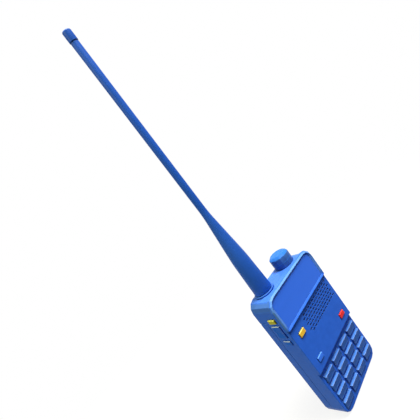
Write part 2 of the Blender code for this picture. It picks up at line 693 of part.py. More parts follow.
def shell_display(shell):
    """Sink the window's pocket with its bevelled edge, and open the view to the display module."""
    pocket = loft([
        (pocket_section(0.0), -LEDGE_Y),
        (pocket_section(0.0), -PANE_Y),
        (pocket_section(1.0 + CUT_OVERRUN / PANE_DEPTH), -BEZEL_Y + CUT_OVERRUN),
    ])
    cut(shell, placed(pocket, FRONT_TURN))
    half = MODULE_HALF - MODULE_LAP
    view = box_outline(-half, half, MODULE_BOTTOM + MODULE_LAP, MODULE_TOP - MODULE_LAP)
    cut(shell, front_cut(view, PANE_Y, DISPLAY_INNER_Y + CUT_OVERRUN))


def grille_slots():
    """Cutters for the speaker grille: staggered rows of short round-ended slots."""
    slots = []
    for row in range(GRILLE_ROWS):
        z = GRILLE_TOP - row * GRILLE_PITCH_Z
        shift = GRILLE_STAGGER * (1 - row % 2)
        for column in range(GRILLE_COLUMNS):
            x = GRILLE_FIRST_X + shift + column * GRILLE_PITCH_X
            slots.append(flared_cut(x, z, SLOT_LENGTH, SLOT_HEIGHT, SLOT_CORNER, PANEL_Y,
                                    PANEL_INNER_Y + CUT_OVERRUN, SLOT_BREAK))
    return joined(slots)


def around(x, z, width, height, margin, corner=0.0):
    """Outline of a rectangle about a middle, grown by a margin."""
    across = width / 2 + margin
    up = height / 2 + margin
    return box_outline(x - across, x + across, z - up, z + up, corner)


def shell_openings(shell):
    """Open the grille, the key and button holes, and the holes for the antenna and the volume control."""
    cut(shell, grille_slots())
    holes = []
    room = 2 * RUN_GAP
    for _, _, x, z in key_middles():
        holes.append(flared_cut(x, z, KEY_WIDTH + room, KEY_HEIGHT + room, KEY_CORNER, PLATE_FRONT_Y,
                                KEYPAD_INNER_Y + CUT_OVERRUN))
    for _, x, z, _ in front_buttons():
        holes.append(flared_cut(x, z, BUTTON_WIDTH + room, BUTTON_HEIGHT + room, BUTTON_BEVEL, PANEL_Y,
                                PANEL_INNER_Y + CUT_OVERRUN))
    for hole in holes:
        cut(shell, hole)
    for _, length, height, _, z, _, _ in side_buttons():
        across = length / 2 + RUN_GAP
        up = height / 2 + RUN_GAP
        cut(shell, block(
            (-HALF_WIDTH - CUT_OVERRUN, SIDE_BUTTON_Y - across, z - up),
            (-CAVITY_HALF + CUT_OVERRUN, SIDE_BUTTON_Y + across, z + up),
        ))
    low = CAVITY_TOP - CUT_OVERRUN
    high = BODY_HEIGHT + CUT_OVERRUN
    cut(shell, upright_cut(ANTENNA_X, TOP_FITTINGS_Y, SOCKET_NECK_RADIUS + RUN_GAP, low, high))
    cut(shell, upright_cut(KNOB_X, TOP_FITTINGS_Y, BUSHING_RADIUS + RUN_GAP, low, high))


def shell_fixings(shell):
    """Drill the screw bosses, and cut pockets for the plate's tongues and notches for the pack's ribs."""
    bore_radius = SCREW_RADIUS + RUN_GAP
    for side in (-1, 1):
        bore = turned([(bore_radius, -REBATE_Y - CUT_OVERRUN), (bore_radius, -BOARD_FRONT_Y + CUT_OVERRUN)],
                      BORE_SIDES)
        cut(shell, placed(bore, Matrix.Translation((side * SCREW_X, 0.0, SCREW_Z)) @ FRONT_TURN))
        across = TONGUE_WIDTH / 2 + RUN_GAP
        cut(shell, block(
            (side * TONGUE_X - across, TONGUE_FRONT_Y - RUN_GAP, REBATE_TOP - CUT_OVERRUN),
            (side * TONGUE_X + across, TONGUE_FRONT_Y + TONGUE_THICKNESS + RUN_GAP,
             BACK_PLATE_TOP + TONGUE_HEIGHT + RUN_GAP),
        ))
        cut(shell, rib_groove(side, -CUT_OVERRUN, REBATE_LIP + CUT_OVERRUN))


def rib_groove(side, low, high):
    """Cutter for the groove that one of the pack's ribs runs in."""
    across = RIB_WIDTH / 2 + RUN_GAP
    return block(
        (side * RIB_X - across, RIB_FRONT_Y - RUN_GAP, low),
        (side * RIB_X + across, SHELL_BACK_Y + CUT_OVERRUN, high),
    )


def make_front_shell():
    """The main moulding."""
    chamfered = BACK_Y - BACK_CHAMFER
    body = loft([
        (body_outline(BACK_CHAMFER), -BACK_Y),
        (body_outline(), -chamfered),
        (body_outline(), -PANEL_Y - EDGE_BREAK),
        (body_outline(EDGE_BREAK), -PANEL_Y),
    ])
    shell = add_object("front_shell", body, FRONT_TURN)
    shell_outer_form(shell)
    shell_cavities(shell)
    shell_display(shell)
    shell_openings(shell)
    shell_fixings(shell)
    dress(shell, BODY_BLUE)


def make_back_plate():
    """Plate that closes the shell, with tongues above, screw holes below, rib grooves and board posts."""
    half = HALF_WIDTH - REBATE_LIP - SEAT_GAP
    low = REBATE_LIP + SEAT_GAP
    outline = corner_outline(-half, half, low, BACK_PLATE_TOP, CORNER_RADIUS - low, REBATE_RADIUS,
                             CORNER_FACETS)
    plate = add_object("back_plate", front_cut(outline, BACK_PLATE_FRONT_Y, BACK_PLATE_REAR_Y))
    post_length = BACK_PLATE_FRONT_Y - BOARD_BACK_Y - SEAT_GAP
    bite = PLATE_THICKNESS / 2
    for side in (-1, 1):
        across = TONGUE_WIDTH / 2
        join(plate, block(
            (side * TONGUE_X - across, TONGUE_FRONT_Y, BACK_PLATE_TOP - bite),
            (side * TONGUE_X + across, TONGUE_FRONT_Y + TONGUE_THICKNESS, BACK_PLATE_TOP + TONGUE_HEIGHT),
        ))
        for z in (POST_LOWER_Z, BODY_HEIGHT - POST_UPPER_DROP):
            post = turned([(POST_RADIUS, -bite), (POST_RADIUS, post_length)], BORE_SIDES)
            join(plate, placed(post, Matrix.Translation((side * POST_X, BACK_PLATE_FRONT_Y, z)) @ FRONT_TURN))
        bore = turned([
            (SCREW_RADIUS + RUN_GAP, -CUT_OVERRUN),
            (SCREW_RADIUS + RUN_GAP, PLATE_THICKNESS - COUNTERBORE_DEPTH),
            (SCREW_HEAD_RADIUS + RUN_GAP, PLATE_THICKNESS - COUNTERBORE_DEPTH),
            (SCREW_HEAD_RADIUS + RUN_GAP, PLATE_THICKNESS + CUT_OVERRUN),
        ], BORE_SIDES)
        outward = Matrix.Rotation(math.radians(-90), 4, "X")
        cut(plate, placed(bore, Matrix.Translation((side * SCREW_X, BACK_PLATE_FRONT_Y, SCREW_Z)) @ outward))
        cut(plate, rib_groove(side, -CUT_OVERRUN, RIB_TOP + RUN_GAP))
    window = around(0.0, CONNECTOR_Z, CONNECTOR_WIDTH, CONNECTOR_HEIGHT, RUN_GAP)
    cut(plate, front_cut(window, BACK_PLATE_FRONT_Y - CUT_OVERRUN, BACK_PLATE_REAR_Y + CUT_OVERRUN))
    dress(plate, BLACK_PLASTIC)


def make_screws():
    """Two screws that hold the back plate, heads in their counterbores."""
    head = PLATE_THICKNESS - COUNTERBORE_DEPTH + SEAT_GAP
    outward = Matrix.Rotation(math.radians(-90), 4, "X")
    for name, side in (("case_screw_left", -1), ("case_screw_right", 1)):
        mesh = turned([
            (SCREW_RADIUS, head - SCREW_LENGTH),
            (SCREW_RADIUS, head),
            (SCREW_HEAD_RADIUS, head),
            (SCREW_HEAD_RADIUS, head + SCREW_HEAD_HEIGHT),
        ], BORE_SIDES)
        place = Matrix.Translation((side * SCREW_X, BACK_PLATE_FRONT_Y, SCREW_Z)) @ outward
        dress(add_object(name, mesh, place), STEEL, 40)


def make_display():
    """Window pane in the bezel's pocket and the display module behind its ledge."""
    half = PANE_HALF - SEAT_GAP
    outline = corner_outline(-half, half, PANE_BOTTOM + SEAT_GAP, PANE_TOP - SEAT_GAP,
                             PANE_LOWER_RADIUS - SEAT_GAP, PANE_RADIUS - SEAT_GAP, CORNER_FACETS)
    pane = add_object("display_window", front_cut(outline, PANE_Y, PANE_Y + PANE_THICKNESS))
    dress(pane, PANE_BLUE)
    front = DISPLAY_INNER_Y + SEAT_GAP
    body = block((-MODULE_HALF, front, MODULE_BOTTOM), (MODULE_HALF, front + MODULE_THICKNESS, MODULE_TOP))
    dress(add_object("display_module", body), GLASS_GREY)


def plunger(width, height, stand, bevels, skirt, lip, dished, corner):
    """Key or button drawn flat, its zero height on the surface that it stands out of.

    The flange lies behind the wall with its lips above and below, the skirt fills the hole and the bevelled
    head stands out. bevels are the head's insets at the sides, below and above.
    """
    side, below, above = bevels
    across = width / 2
    up = height / 2
    flange_front = -skirt
    flange_back = flange_front - FLANGE_THICKNESS
    shoulder = min(KEY_SHOULDER, stand / 2)

    def ring(grow_x, grow_low, grow_high, out, radius):
        return (box_outline(-across - grow_x, across + grow_x, -up - grow_low, up + grow_high, radius), out)

    sections = [
        ring(FLANGE_SIDE_LIP, lip, lip, flange_back, corner),
        ring(FLANGE_SIDE_LIP, lip, lip, flange_front, corner),
        ring(0.0, 0.0, 0.0, flange_front, corner),
        ring(0.0, 0.0, 0.0, shoulder, corner),
        ring(-side, -below, -above, stand, corner),
    ]
    if dished:
        rim = DISH_RIM
        floor = DISH_RIM + DISH_SLOPE
        sections.append(ring(-side - rim, -below - rim, -above - rim, stand, corner))
        sections.append(ring(-side - floor, -below - floor, -above - floor, stand - DISH_DEPTH, corner))
    return loft(sections)


def make_keys():
    """Sixteen keys that share one mesh."""
    skirt = FRONT_WALL + SEAT_GAP
    bevels = (KEY_SIDE_BEVEL, KEY_SIDE_BEVEL, KEY_TOP_BEVEL)
    mesh = plunger(KEY_WIDTH, KEY_HEIGHT, KEY_STAND, bevels, skirt, FLANGE_LIP, True, KEY_CORNER)
    first = None
    for row, column, x, z in key_middles():
        name = f"key_r{row}_c{column}"
        place = Matrix.Translation((x, PLATE_FRONT_Y, z)) @ FRONT_TURN
        if first is None:
            first = add_object(name, mesh, place)
            item = first
        else:
            item = add_copy(name, first, place)
        dress(item, KEY_BLUE)


def make_front_buttons():
    """Three small buttons with stems that reach back to the switches on the board."""
    skirt = FRONT_WALL + SEAT_GAP
    bevels = (BUTTON_BEVEL, BUTTON_BEVEL, BUTTON_BEVEL)
    flange_back = skirt + FLANGE_THICKNESS
    stem_end = BOARD_FRONT_Y - SWITCH_HEIGHT - SEAT_GAP - BUTTON_TRAVEL - PANEL_Y
    for name, x, z, finish in front_buttons():
        mesh = plunger(BUTTON_WIDTH, BUTTON_HEIGHT, BUTTON_STAND, bevels, skirt, FLANGE_LIP, False,
                       BUTTON_BEVEL)
        place = Matrix.Translation((x, PANEL_Y, z)) @ FRONT_TURN
        item = add_object(name, mesh, place)
        stem = around(0.0, 0.0, STEM_SIDE, STEM_SIDE, 0.0)
        stem_mesh = loft([(stem, -stem_end), (stem, -flange_back + FLANGE_THICKNESS / 2)])
        join(item, placed(stem_mesh, place))
        dress(item, finish)


def make_side_buttons():
    """Call, talk and monitor buttons on the left side."""
    skirt = SIDE_WALL + SEAT_GAP
    for name, length, height, stand, z, dished, finish in side_buttons():
        bevels = (SIDE_BUTTON_BEVEL, SIDE_BUTTON_BEVEL, SIDE_BUTTON_BEVEL)
        mesh = plunger(length, height, stand, bevels, skirt, FLANGE_LIP, dished, KEY_CORNER)
        place = Matrix.Translation((-HALF_WIDTH, SIDE_BUTTON_Y, z)) @ LEFT_TURN
        dress(add_object(name, mesh, place), finish)


def make_main_board():
    """Circuit board with notched lower corners and a switch behind each front button."""
    front = BOARD_FRONT_Y
    board = add_object("main_board", block(
        (-BOARD_HALF, front, BOARD_LOWER_MARGIN), (BOARD_HALF, BOARD_BACK_Y, BOARD_TOP)))
    notch = CAVITY_HALF - BOSS_SIDE - SEAT_GAP
    notch_top = SIDE_WALL + BOSS_SIDE + SEAT_GAP
    for side in (-1, 1):
        inner = side * notch
        outer = side * HALF_WIDTH
        cut(board, block(
            (min(inner, outer), front - CUT_OVERRUN, 0.0),
            (max(inner, outer), BOARD_BACK_Y + CUT_OVERRUN, notch_top),
        ))
    reach = SWITCH_SIDE / 2
    for _, x, z, _ in front_buttons():
        join(board, block(
            (x - reach, front - SWITCH_HEIGHT, z - reach),
            (x + reach, front + BOARD_THICKNESS / 2, z + reach),
        ))
    dress(board, BOARD_GREEN)


def make_key_membrane():
    """Rubber sheet with a dome behind every key."""
    half = HALF_WIDTH - MEMBRANE_MARGIN
    low = KEY_LOWER_MARGIN - MEMBRANE_END_INSET
    high = KEYS_TOP + MEMBRANE_END_INSET
    sheet_front = MEMBRANE_BACK_Y - MEMBRANE_THICKNESS
    sheet = front_cut(box_outline(-half, half, low, high), sheet_front, MEMBRANE_BACK_Y)
    membrane = add_object("key_membrane", sheet)
    bite = MEMBRANE_THICKNESS / 2
    domes = []
    for _, _, x, z in key_middles():
        dome = turned([
            (DOME_RADIUS, -bite),
            (DOME_RADIUS, DOME_HEIGHT / 2),
            (DOME_RADIUS / 2, DOME_HEIGHT),
        ], BORE_SIDES // 2)
        domes.append(placed(dome, Matrix.Translation((x, sheet_front, z)) @ FRONT_TURN))
    join(membrane, joined(domes))
    dress(membrane, RUBBER)


def make_side_switch_board():
    """Narrow board with a switch behind each side button."""
    front = SIDE_BUTTON_Y - SIDE_BOARD_DEPTH / 2
    back = BOARD_BACK_Y
    middles = [entry[4] for entry in side_buttons()]
    reach = SIDE_SWITCH_SIDE / 2
    low = min(middles) - 2 * reach
    high = max(middles) + 2 * reach
    strip = block((SIDE_BOARD_X, front, low), (SIDE_BOARD_INNER_X, back, high))
    board = add_object("side_switch_board", strip)
    for z in middles:
        join(board, block(
            (SIDE_SWITCH_X, SIDE_BUTTON_Y - reach, z - reach),
            (SIDE_BOARD_X + SIDE_BOARD_THICKNESS / 2, SIDE_BUTTON_Y + reach, z + reach),
        ))
    dress(board, BOARD_GREEN)


def make_speaker():
    """Dust cloth, basket, cone and magnet behind the grille."""
    across = SLOT_LENGTH / 2 + CLOTH_MARGIN
    up = SLOT_HEIGHT / 2 + CLOTH_MARGIN
    cloth = box_outline(GRILLE_FIRST_X - across, GRILLE_LAST_X + across, GRILLE_BOTTOM - up, GRILLE_TOP + up)
    item = add_object("grille_cloth", front_cut(cloth, CLOTH_FRONT_Y, CLOTH_FRONT_Y + CLOTH_THICKNESS))
    dress(item, DARK_CLOTH)
    seat = Matrix.Translation((GRILLE_MIDDLE_X, BASKET_BACK_Y, SPEAKER_Z)) @ FRONT_TURN
    inner = SPEAKER_RADIUS - SPEAKER_WALL
    rim_foot = SPEAKER_DEPTH - SPEAKER_RIM_HEIGHT
    basket = turned([
        (SPEAKER_HUB_RADIUS, SPEAKER_WALL),
        (SPEAKER_HUB_RADIUS, 0.0),
        (MAGNET_RADIUS, 0.0),
        (SPEAKER_RADIUS, rim_foot),
        (SPEAKER_RADIUS, SPEAKER_DEPTH),
        (inner, SPEAKER_DEPTH),
        (inner, rim_foot + SPEAKER_RIM_STEP),
        (MAGNET_RADIUS, SPEAKER_WALL),
    ], ROUND_SIDES, closed=True)
    dress(add_object("speaker_basket", basket, seat), STEEL, 40)
    rim = inner - SEAT_GAP
    top = SPEAKER_DEPTH - SEAT_GAP
    cone = turned([
        (CONE_HUB_RADIUS, top - CONE_DEPTH - CONE_THICKNESS),
        (rim, top - CONE_THICKNESS),
        (rim, top),
        (CONE_HUB_RADIUS, top - CONE_DEPTH),
    ], ROUND_SIDES)
    dress(add_object("speaker_cone", cone, seat), PAPER_CONE, 40)
    magnet_back = BOARD_FRONT_Y - SEAT_GAP
    magnet_length = magnet_back - BASKET_BACK_Y - SEAT_GAP
    magnet_seat = Matrix.Translation((GRILLE_MIDDLE_X, magnet_back, SPEAKER_Z)) @ FRONT_TURN
    magnet = turned([(MAGNET_RADIUS, 0.0), (MAGNET_RADIUS, magnet_length)], ROUND_SIDES)
    dress(add_object("speaker_magnet", magnet, magnet_seat), STEEL, 40)


def make_microphone():
    """Round microphone on the front of the board."""
    z = SPEAKER_ROOM_BOTTOM + MICROPHONE_RISE
    place = Matrix.Translation((MICROPHONE_X, BOARD_FRONT_Y - SEAT_GAP, z)) @ FRONT_TURN
    mesh = turned([(MICROPHONE_RADIUS, 0.0), (MICROPHONE_RADIUS, MICROPHONE_HEIGHT)], BORE_SIDES)
    dress(add_object("microphone", mesh, place), STEEL, 40)


def make_battery_connector():
    """Contact block on the back of the board, reaching through the back plate."""
    across = CONNECTOR_WIDTH / 2
    up = CONNECTOR_HEIGHT / 2
    mesh = block(
        (-across, BOARD_BACK_Y + SEAT_GAP, CONNECTOR_Z - up),
        (across, PACK_FRONT_Y - SEAT_GAP, CONNECTOR_Z + up),
    )
    dress(add_object("battery_connector", mesh), BRASS)


def make_antenna():
    """Socket and collar on the housing, and the whip with its stud and cap, turning about its own axis."""
    top = BODY_HEIGHT
    foot = Matrix.Translation((ANTENNA_X, TOP_FITTINGS_Y, top))
    stud_hole = STUD_RADIUS + RUN_GAP
    socket_top = -SIDE_WALL - SEAT_GAP
    collar_top = SEAT_GAP + COLLAR_HEIGHT
    whip_foot = collar_top + SEAT_GAP
    stud_foot = whip_foot + STUD_ENGAGEMENT - STUD_LENGTH
    socket = turned([
        (stud_hole, stud_foot - SEAT_GAP),
        (stud_hole, SOCKET_NECK_RISE),
        (SOCKET_NECK_RADIUS, SOCKET_NECK_RISE),
        (SOCKET_NECK_RADIUS, socket_top),
        (SOCKET_RADIUS, socket_top),
        (SOCKET_RADIUS, socket_top - SOCKET_LENGTH),
    ], ROUND_SIDES)
    dress(add_object("antenna_socket", socket, foot), BRASS, 40)
    collar_hole = SOCKET_NECK_RADIUS + RUN_GAP
    collar = turned([
        (collar_hole, SEAT_GAP),
        (COLLAR_RADIUS, SEAT_GAP),
        (COLLAR_RADIUS, collar_top - COLLAR_CHAMFER),
        (COLLAR_RADIUS - COLLAR_CHAMFER, collar_top),
        (collar_hole, collar_top),
    ], ROUND_SIDES, closed=True)
    dress(add_object("antenna_collar", collar, foot), BODY_BLUE, 40)
    whip = turned([
        (stud_hole, whip_foot + STUD_ENGAGEMENT + SEAT_GAP),
        (stud_hole, whip_foot),
        (WHIP_BASE_RADIUS, whip_foot),
        (WHIP_SHOULDER_RADIUS, WHIP_SHOULDER_HEIGHT),
        (WHIP_ROD_RADIUS, WHIP_NECK_HEIGHT),
        (WHIP_ROD_RADIUS, WHIP_TOP_HEIGHT),
        (WHIP_TENON_RADIUS, WHIP_TOP_HEIGHT),
        (WHIP_TENON_RADIUS, WHIP_TOP_HEIGHT + WHIP_TENON_LENGTH),
    ], ROUND_SIDES)
    dress(add_object("antenna_whip", whip, foot), ANTENNA_BLUE, 40)
    stud = turned([(STUD_RADIUS, stud_foot), (STUD_RADIUS, stud_foot + STUD_LENGTH)], ROUND_SIDES)
    dress(add_object("antenna_stud", stud, foot), BRASS, 40)
    cap_foot = WHIP_TOP_HEIGHT + CAP_GROOVE
    tenon_hole = WHIP_TENON_RADIUS + RUN_GAP
    cap = turned([
        (tenon_hole, WHIP_TOP_HEIGHT + WHIP_TENON_LENGTH + SEAT_GAP),
        (tenon_hole, cap_foot),
        (CAP_RADIUS, cap_foot),
        (CAP_RADIUS, cap_foot + CAP_LENGTH - CAP_CROWN),
        (CAP_RADIUS - CAP_CROWN_MIDDLE, cap_foot + CAP_LENGTH - CAP_CROWN_MIDDLE),
        (CAP_RADIUS - CAP_CROWN, cap_foot + CAP_LENGTH),
    ], ROUND_SIDES)
    dress(add_object("antenna_cap", cap, foot), ANTENNA_BLUE, 40)


def make_volume_control():
    """Potentiometer under the top wall, and the knob and shaft that turn about its axis."""
    foot = Matrix.Translation((KNOB_X, TOP_FITTINGS_Y, BODY_HEIGHT))
    shaft_hole = SHAFT_RADIUS + RUN_GAP
    pot_top = -SIDE_WALL - SEAT_GAP
    pot_foot = pot_top - POT_HEIGHT
    shaft_foot = pot_foot + POT_FLOOR + SEAT_GAP
    reach = POT_SIDE / 2
    pot = add_object("volume_control", block((-reach, -reach, pot_foot), (reach, reach, pot_top)), foot)
    bushing = turned([(BUSHING_RADIUS, pot_foot + POT_FLOOR), (BUSHING_RADIUS, BUSHING_RISE)], ROUND_SIDES)
    join(pot, placed(bushing, foot))
    bore = turned([(shaft_hole, shaft_foot - SEAT_GAP), (shaft_hole, BUSHING_RISE + CUT_OVERRUN)], ROUND_SIDES)
    cut(pot, placed(bore, foot))
    dress(pot, STEEL)
    shaft_top = SEAT_GAP + SHAFT_ENGAGEMENT
    shaft = turned([(SHAFT_RADIUS, shaft_foot), (SHAFT_RADIUS, shaft_top)], ROUND_SIDES)
    dress(add_object("volume_shaft", shaft, foot), STEEL, 40)
    waist = KNOB_RADIUS - KNOB_WAIST_GROOVE
    half_groove = KNOB_WAIST_GROOVE / 2
    bushing_hole = BUSHING_RADIUS + RUN_GAP
    knob = turned([
        (shaft_hole, shaft_top + SEAT_GAP),
        (shaft_hole, BUSHING_RISE + RUN_GAP),
        (bushing_hole, BUSHING_RISE + RUN_GAP),
        (bushing_hole, SEAT_GAP),
        (KNOB_RADIUS, SEAT_GAP),
        (KNOB_RADIUS, KNOB_WAIST_HEIGHT - half_groove),
        (waist, KNOB_WAIST_HEIGHT),
        (KNOB_RADIUS, KNOB_WAIST_HEIGHT + half_groove),
        (KNOB_RADIUS, KNOB_HEIGHT - KNOB_CHAMFER_HEIGHT),
        (KNOB_CROWN_RADIUS, KNOB_HEIGHT),
    ], KNOB_FACETS)
    dress(add_object("volume_knob", knob, foot), BODY_BLUE)


def nose_outline():
    """What is taken off the pack's upper front edge to round it, seen from the left."""
    middle_across = -PACK_FRONT_Y - PACK_NOSE_RADIUS
    middle_up = PACK_TOP - PACK_NOSE_RADIUS
    points = [
        (-PACK_FRONT_Y + CUT_OVERRUN, middle_up),
        (-PACK_FRONT_Y + CUT_OVERRUN, PACK_TOP + CUT_OVERRUN),
        (middle_across, PACK_TOP + CUT_OVERRUN),
    ]
    for step in range(CORNER_FACETS + 1):
        angle = math.radians(90 - 90 * step / CORNER_FACETS)
        points.append((
            middle_across + PACK_NOSE_RADIUS * math.cos(angle),
            middle_up + PACK_NOSE_RADIUS * math.sin(angle),
        ))
    return points


def make_battery_pack():
    """Pack that slides down to come off: case with thumb grooves, ribbed lid, flat cell and terminals."""
    case = add_object("battery_case", loft([
        (pack_outline(BACK_CHAMFER, BACK_CHAMFER / 2), -BACK_Y),
        (pack_outline(), -BACK_Y + BACK_CHAMFER),
        (pack_outline(), -PACK_FRONT_Y),
    ]), FRONT_TURN)
    cut(case, side_cut(nose_outline(), HALF_WIDTH + CUT_OVERRUN))
    mouth = pack_outline(PACK_WALL)
    cut(case, front_cut(mouth, PACK_FRONT_Y - CUT_OVERRUN, PACK_LEDGE_Y))
    room = pack_outline(PACK_WALL + PACK_LEDGE)
    cut(case, front_cut(room, PACK_LEDGE_Y - CUT_OVERRUN, PACK_FLOOR_Y))
    grooves = []
    for index in range(GRIP_COUNT):
        z = PACK_TOP - GRIP_TOP_MARGIN - index * GRIP_PITCH
        grooves.append(block(
            (-GRIP_WIDTH / 2, BACK_Y - GRIP_DEPTH, z - GRIP_HEIGHT / 2),
            (GRIP_WIDTH / 2, BACK_Y + CUT_OVERRUN, z + GRIP_HEIGHT / 2),
        ))
    cut(case, joined(grooves))
    dress(case, BODY_BLUE)
    lid = add_object("battery_lid", front_cut(pack_outline(PACK_WALL + SEAT_GAP), LID_FRONT_Y, LID_BACK_Y))
    for side in (-1, 1):
        join(lid, block(
            (side * RIB_X - RIB_WIDTH / 2, RIB_FRONT_Y, RIB_BOTTOM),
            (side * RIB_X + RIB_WIDTH / 2, LID_FRONT_Y + LID_THICKNESS / 2, RIB_TOP),
        ))
    window = around(0.0, CONNECTOR_Z, CONNECTOR_WIDTH, CONNECTOR_HEIGHT, 0.0)
    cut(lid, front_cut(window, LID_FRONT_Y - CUT_OVERRUN, LID_BACK_Y + CUT_OVERRUN))
    dress(lid, BLACK_PLASTIC)
    across = CONNECTOR_WIDTH / 2 - SEAT_GAP
    up = CONNECTOR_HEIGHT / 2 - SEAT_GAP
    terminals = block((-across, PACK_FRONT_Y, CONNECTOR_Z - up), (across, LID_BACK_Y, CONNECTOR_Z + up))
    dress(add_object("pack_terminals", terminals), BRASS)
    half = HALF_WIDTH - CELL_SIDE_MARGIN
    cell = block(
        (-half, PACK_LEDGE_Y, CELL_END_MARGIN), (half, PACK_FLOOR_Y - SEAT_GAP, PACK_TOP - CELL_END_MARGIN))
    dress(add_object("battery_cell", cell), CELL_SILVER)


def main():
    """Build every piece."""
    clear_scene()
    make_front_shell()
    make_back_plate()
    make_screws()
    make_display()
    make_keys()
    make_front_buttons()
    make_side_buttons()
    make_main_board()
    make_key_membrane()
    make_side_switch_board()
    make_speaker()
    make_microphone()
    make_battery_connector()
    make_antenna()
    make_volume_control()
    make_battery_pack()


main()
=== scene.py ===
"""Toy walkie talkie: finely moulded pieces and finishes around the handset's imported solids.

Metres, +Z up. The handset stands on its base at the origin, X runs to its right, and its front faces -Y.
"""
import logging
import math
from collections.abc import Iterable, Sequence
from dataclasses import dataclass, field
from enum import Enum
from functools import cached_property

import bmesh
import bpy
from mathutils import Matrix, Vector

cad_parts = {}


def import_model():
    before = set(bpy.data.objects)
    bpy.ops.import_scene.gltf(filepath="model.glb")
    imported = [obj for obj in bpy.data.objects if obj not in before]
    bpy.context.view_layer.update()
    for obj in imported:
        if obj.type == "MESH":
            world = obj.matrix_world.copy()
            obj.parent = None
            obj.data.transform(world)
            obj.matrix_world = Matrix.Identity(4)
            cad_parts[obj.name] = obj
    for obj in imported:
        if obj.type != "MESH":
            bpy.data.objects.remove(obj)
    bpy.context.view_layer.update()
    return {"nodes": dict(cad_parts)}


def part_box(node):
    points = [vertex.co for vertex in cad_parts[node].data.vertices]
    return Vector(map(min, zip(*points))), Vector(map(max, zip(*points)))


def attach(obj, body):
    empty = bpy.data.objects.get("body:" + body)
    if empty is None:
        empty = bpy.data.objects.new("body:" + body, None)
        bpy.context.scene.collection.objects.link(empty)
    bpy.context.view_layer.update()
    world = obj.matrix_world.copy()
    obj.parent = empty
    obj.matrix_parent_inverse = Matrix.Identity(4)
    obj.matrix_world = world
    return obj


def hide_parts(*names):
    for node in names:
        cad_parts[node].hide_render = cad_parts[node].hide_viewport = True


LOG = logging.getLogger("handset")
MM = 0.001

Socket = bpy.types.NodeSocket
Colour = tuple[float, float, float, float]
Triple = tuple[float, float, float]
Range = tuple[float, float]
Box = tuple[Vector, Vector, Vector]
Outline = list[tuple[float, float]]
Ring = list[Triple]

WHITE: Colour = (1.0, 1.0, 1.0, 1.0)
EVEN: Triple = (1.0, 1.0, 1.0)
FULL: Range = (0.0, 1.0)

# Values between which most of a noise pattern lies
MID_NOISE: Range = (0.3, 0.7)
WIDE_NOISE: Range = (0.2, 0.8)

# Likeness of the eased and the true normal, from off an edge to full on it
EDGE_LIKENESS: Range = (0.995, 0.91)

# Rays for the nodes that look at the surface nearby
NEARBY_RAYS = 8

# Radians that Blender's wave texture turns by over one unit
WAVE_RATE = 20.0

# Places of the colour sockets on Blender's mix node
MIX_SHARE = 0
MIX_UNDER = 6
MIX_OVER = 7
MIX_RESULT = 2

# Edges sharper than this, in degrees, stay crisp
CRISP_ANGLE = 30.0

# Frames for pieces drawn flat and raised towards the viewer: (across, up, out)
FRONT_TURN = Matrix.Rotation(math.radians(90), 4, "X")
LEFT_TURN = Matrix.Rotation(math.radians(-90), 4, "Z") @ FRONT_TURN


class Facing(Enum):
    """Which way a plunger stands out of the housing."""

    FRONT = "front"
    LEFT = "left"


class Face(Enum):
    """Shape of a plunger's outer face."""

    CROWNED = "crowned"
    DISHED = "dished"


def srgb(red: int, green: int, blue: int) -> Colour:
    """Turn screen values into a linear colour.

    Args:
        red: 8-bit red.
        green: 8-bit green.
        blue: 8-bit blue.

    Returns:
        The linear colour with full alpha.
    """
    def channel(value: int) -> float:
        """Linear share of one 8-bit value."""
        share = value / 255
        return share / 12.92 if share <= 0.04045 else ((share + 0.055) / 1.055) ** 2.4
    return channel(red), channel(green), channel(blue), 1.0


def box_mm(*corners: Triple) -> Box:
    """Turn a box's corners and its fade, in millimetres, into vectors in metres."""
    return tuple(Vector(corner) * MM for corner in corners)


def both_sides(low: Triple, high: Triple, fade: Triple) -> tuple[Box, Box]:
    """Give the mirror image of a box at the right, and the box itself, all from millimetres."""
    image = box_mm((-high[0], low[1], low[2]), (-low[0], high[1], high[2]), fade)
    return image, box_mm(low, high, fade)


# Patches painted with a grey-teal sheen at each side: the upper corners of the body and the bezel's
# outer chamfer
SHEEN_PATCHES = (*both_sides((25.5, -10.6, 99.0), (40.0, 12.0, 120.0), (1.0, 0.1, 2.5)),
                *both_sides((28.9, -20.0, 80.0), (40.0, -10.4, 120.0), (0.3, 0.3, 0.3)))

# Proud bezel around the window, which gets a painted highlight, and the slots of the speaker grille
# behind the front, which get painted shade at their mouths and a painted fill light further in
BEZEL = box_mm((-40.0, -20.0, 83.5), (40.0, -10.7, 120.0), (0.3, 0.3, 3.5))
GRILLE_SLOTS = box_mm((-27.5, -10.49, 44.0), (27.5, -8.0, 81.5), (0.1, 0.06, 0.1))


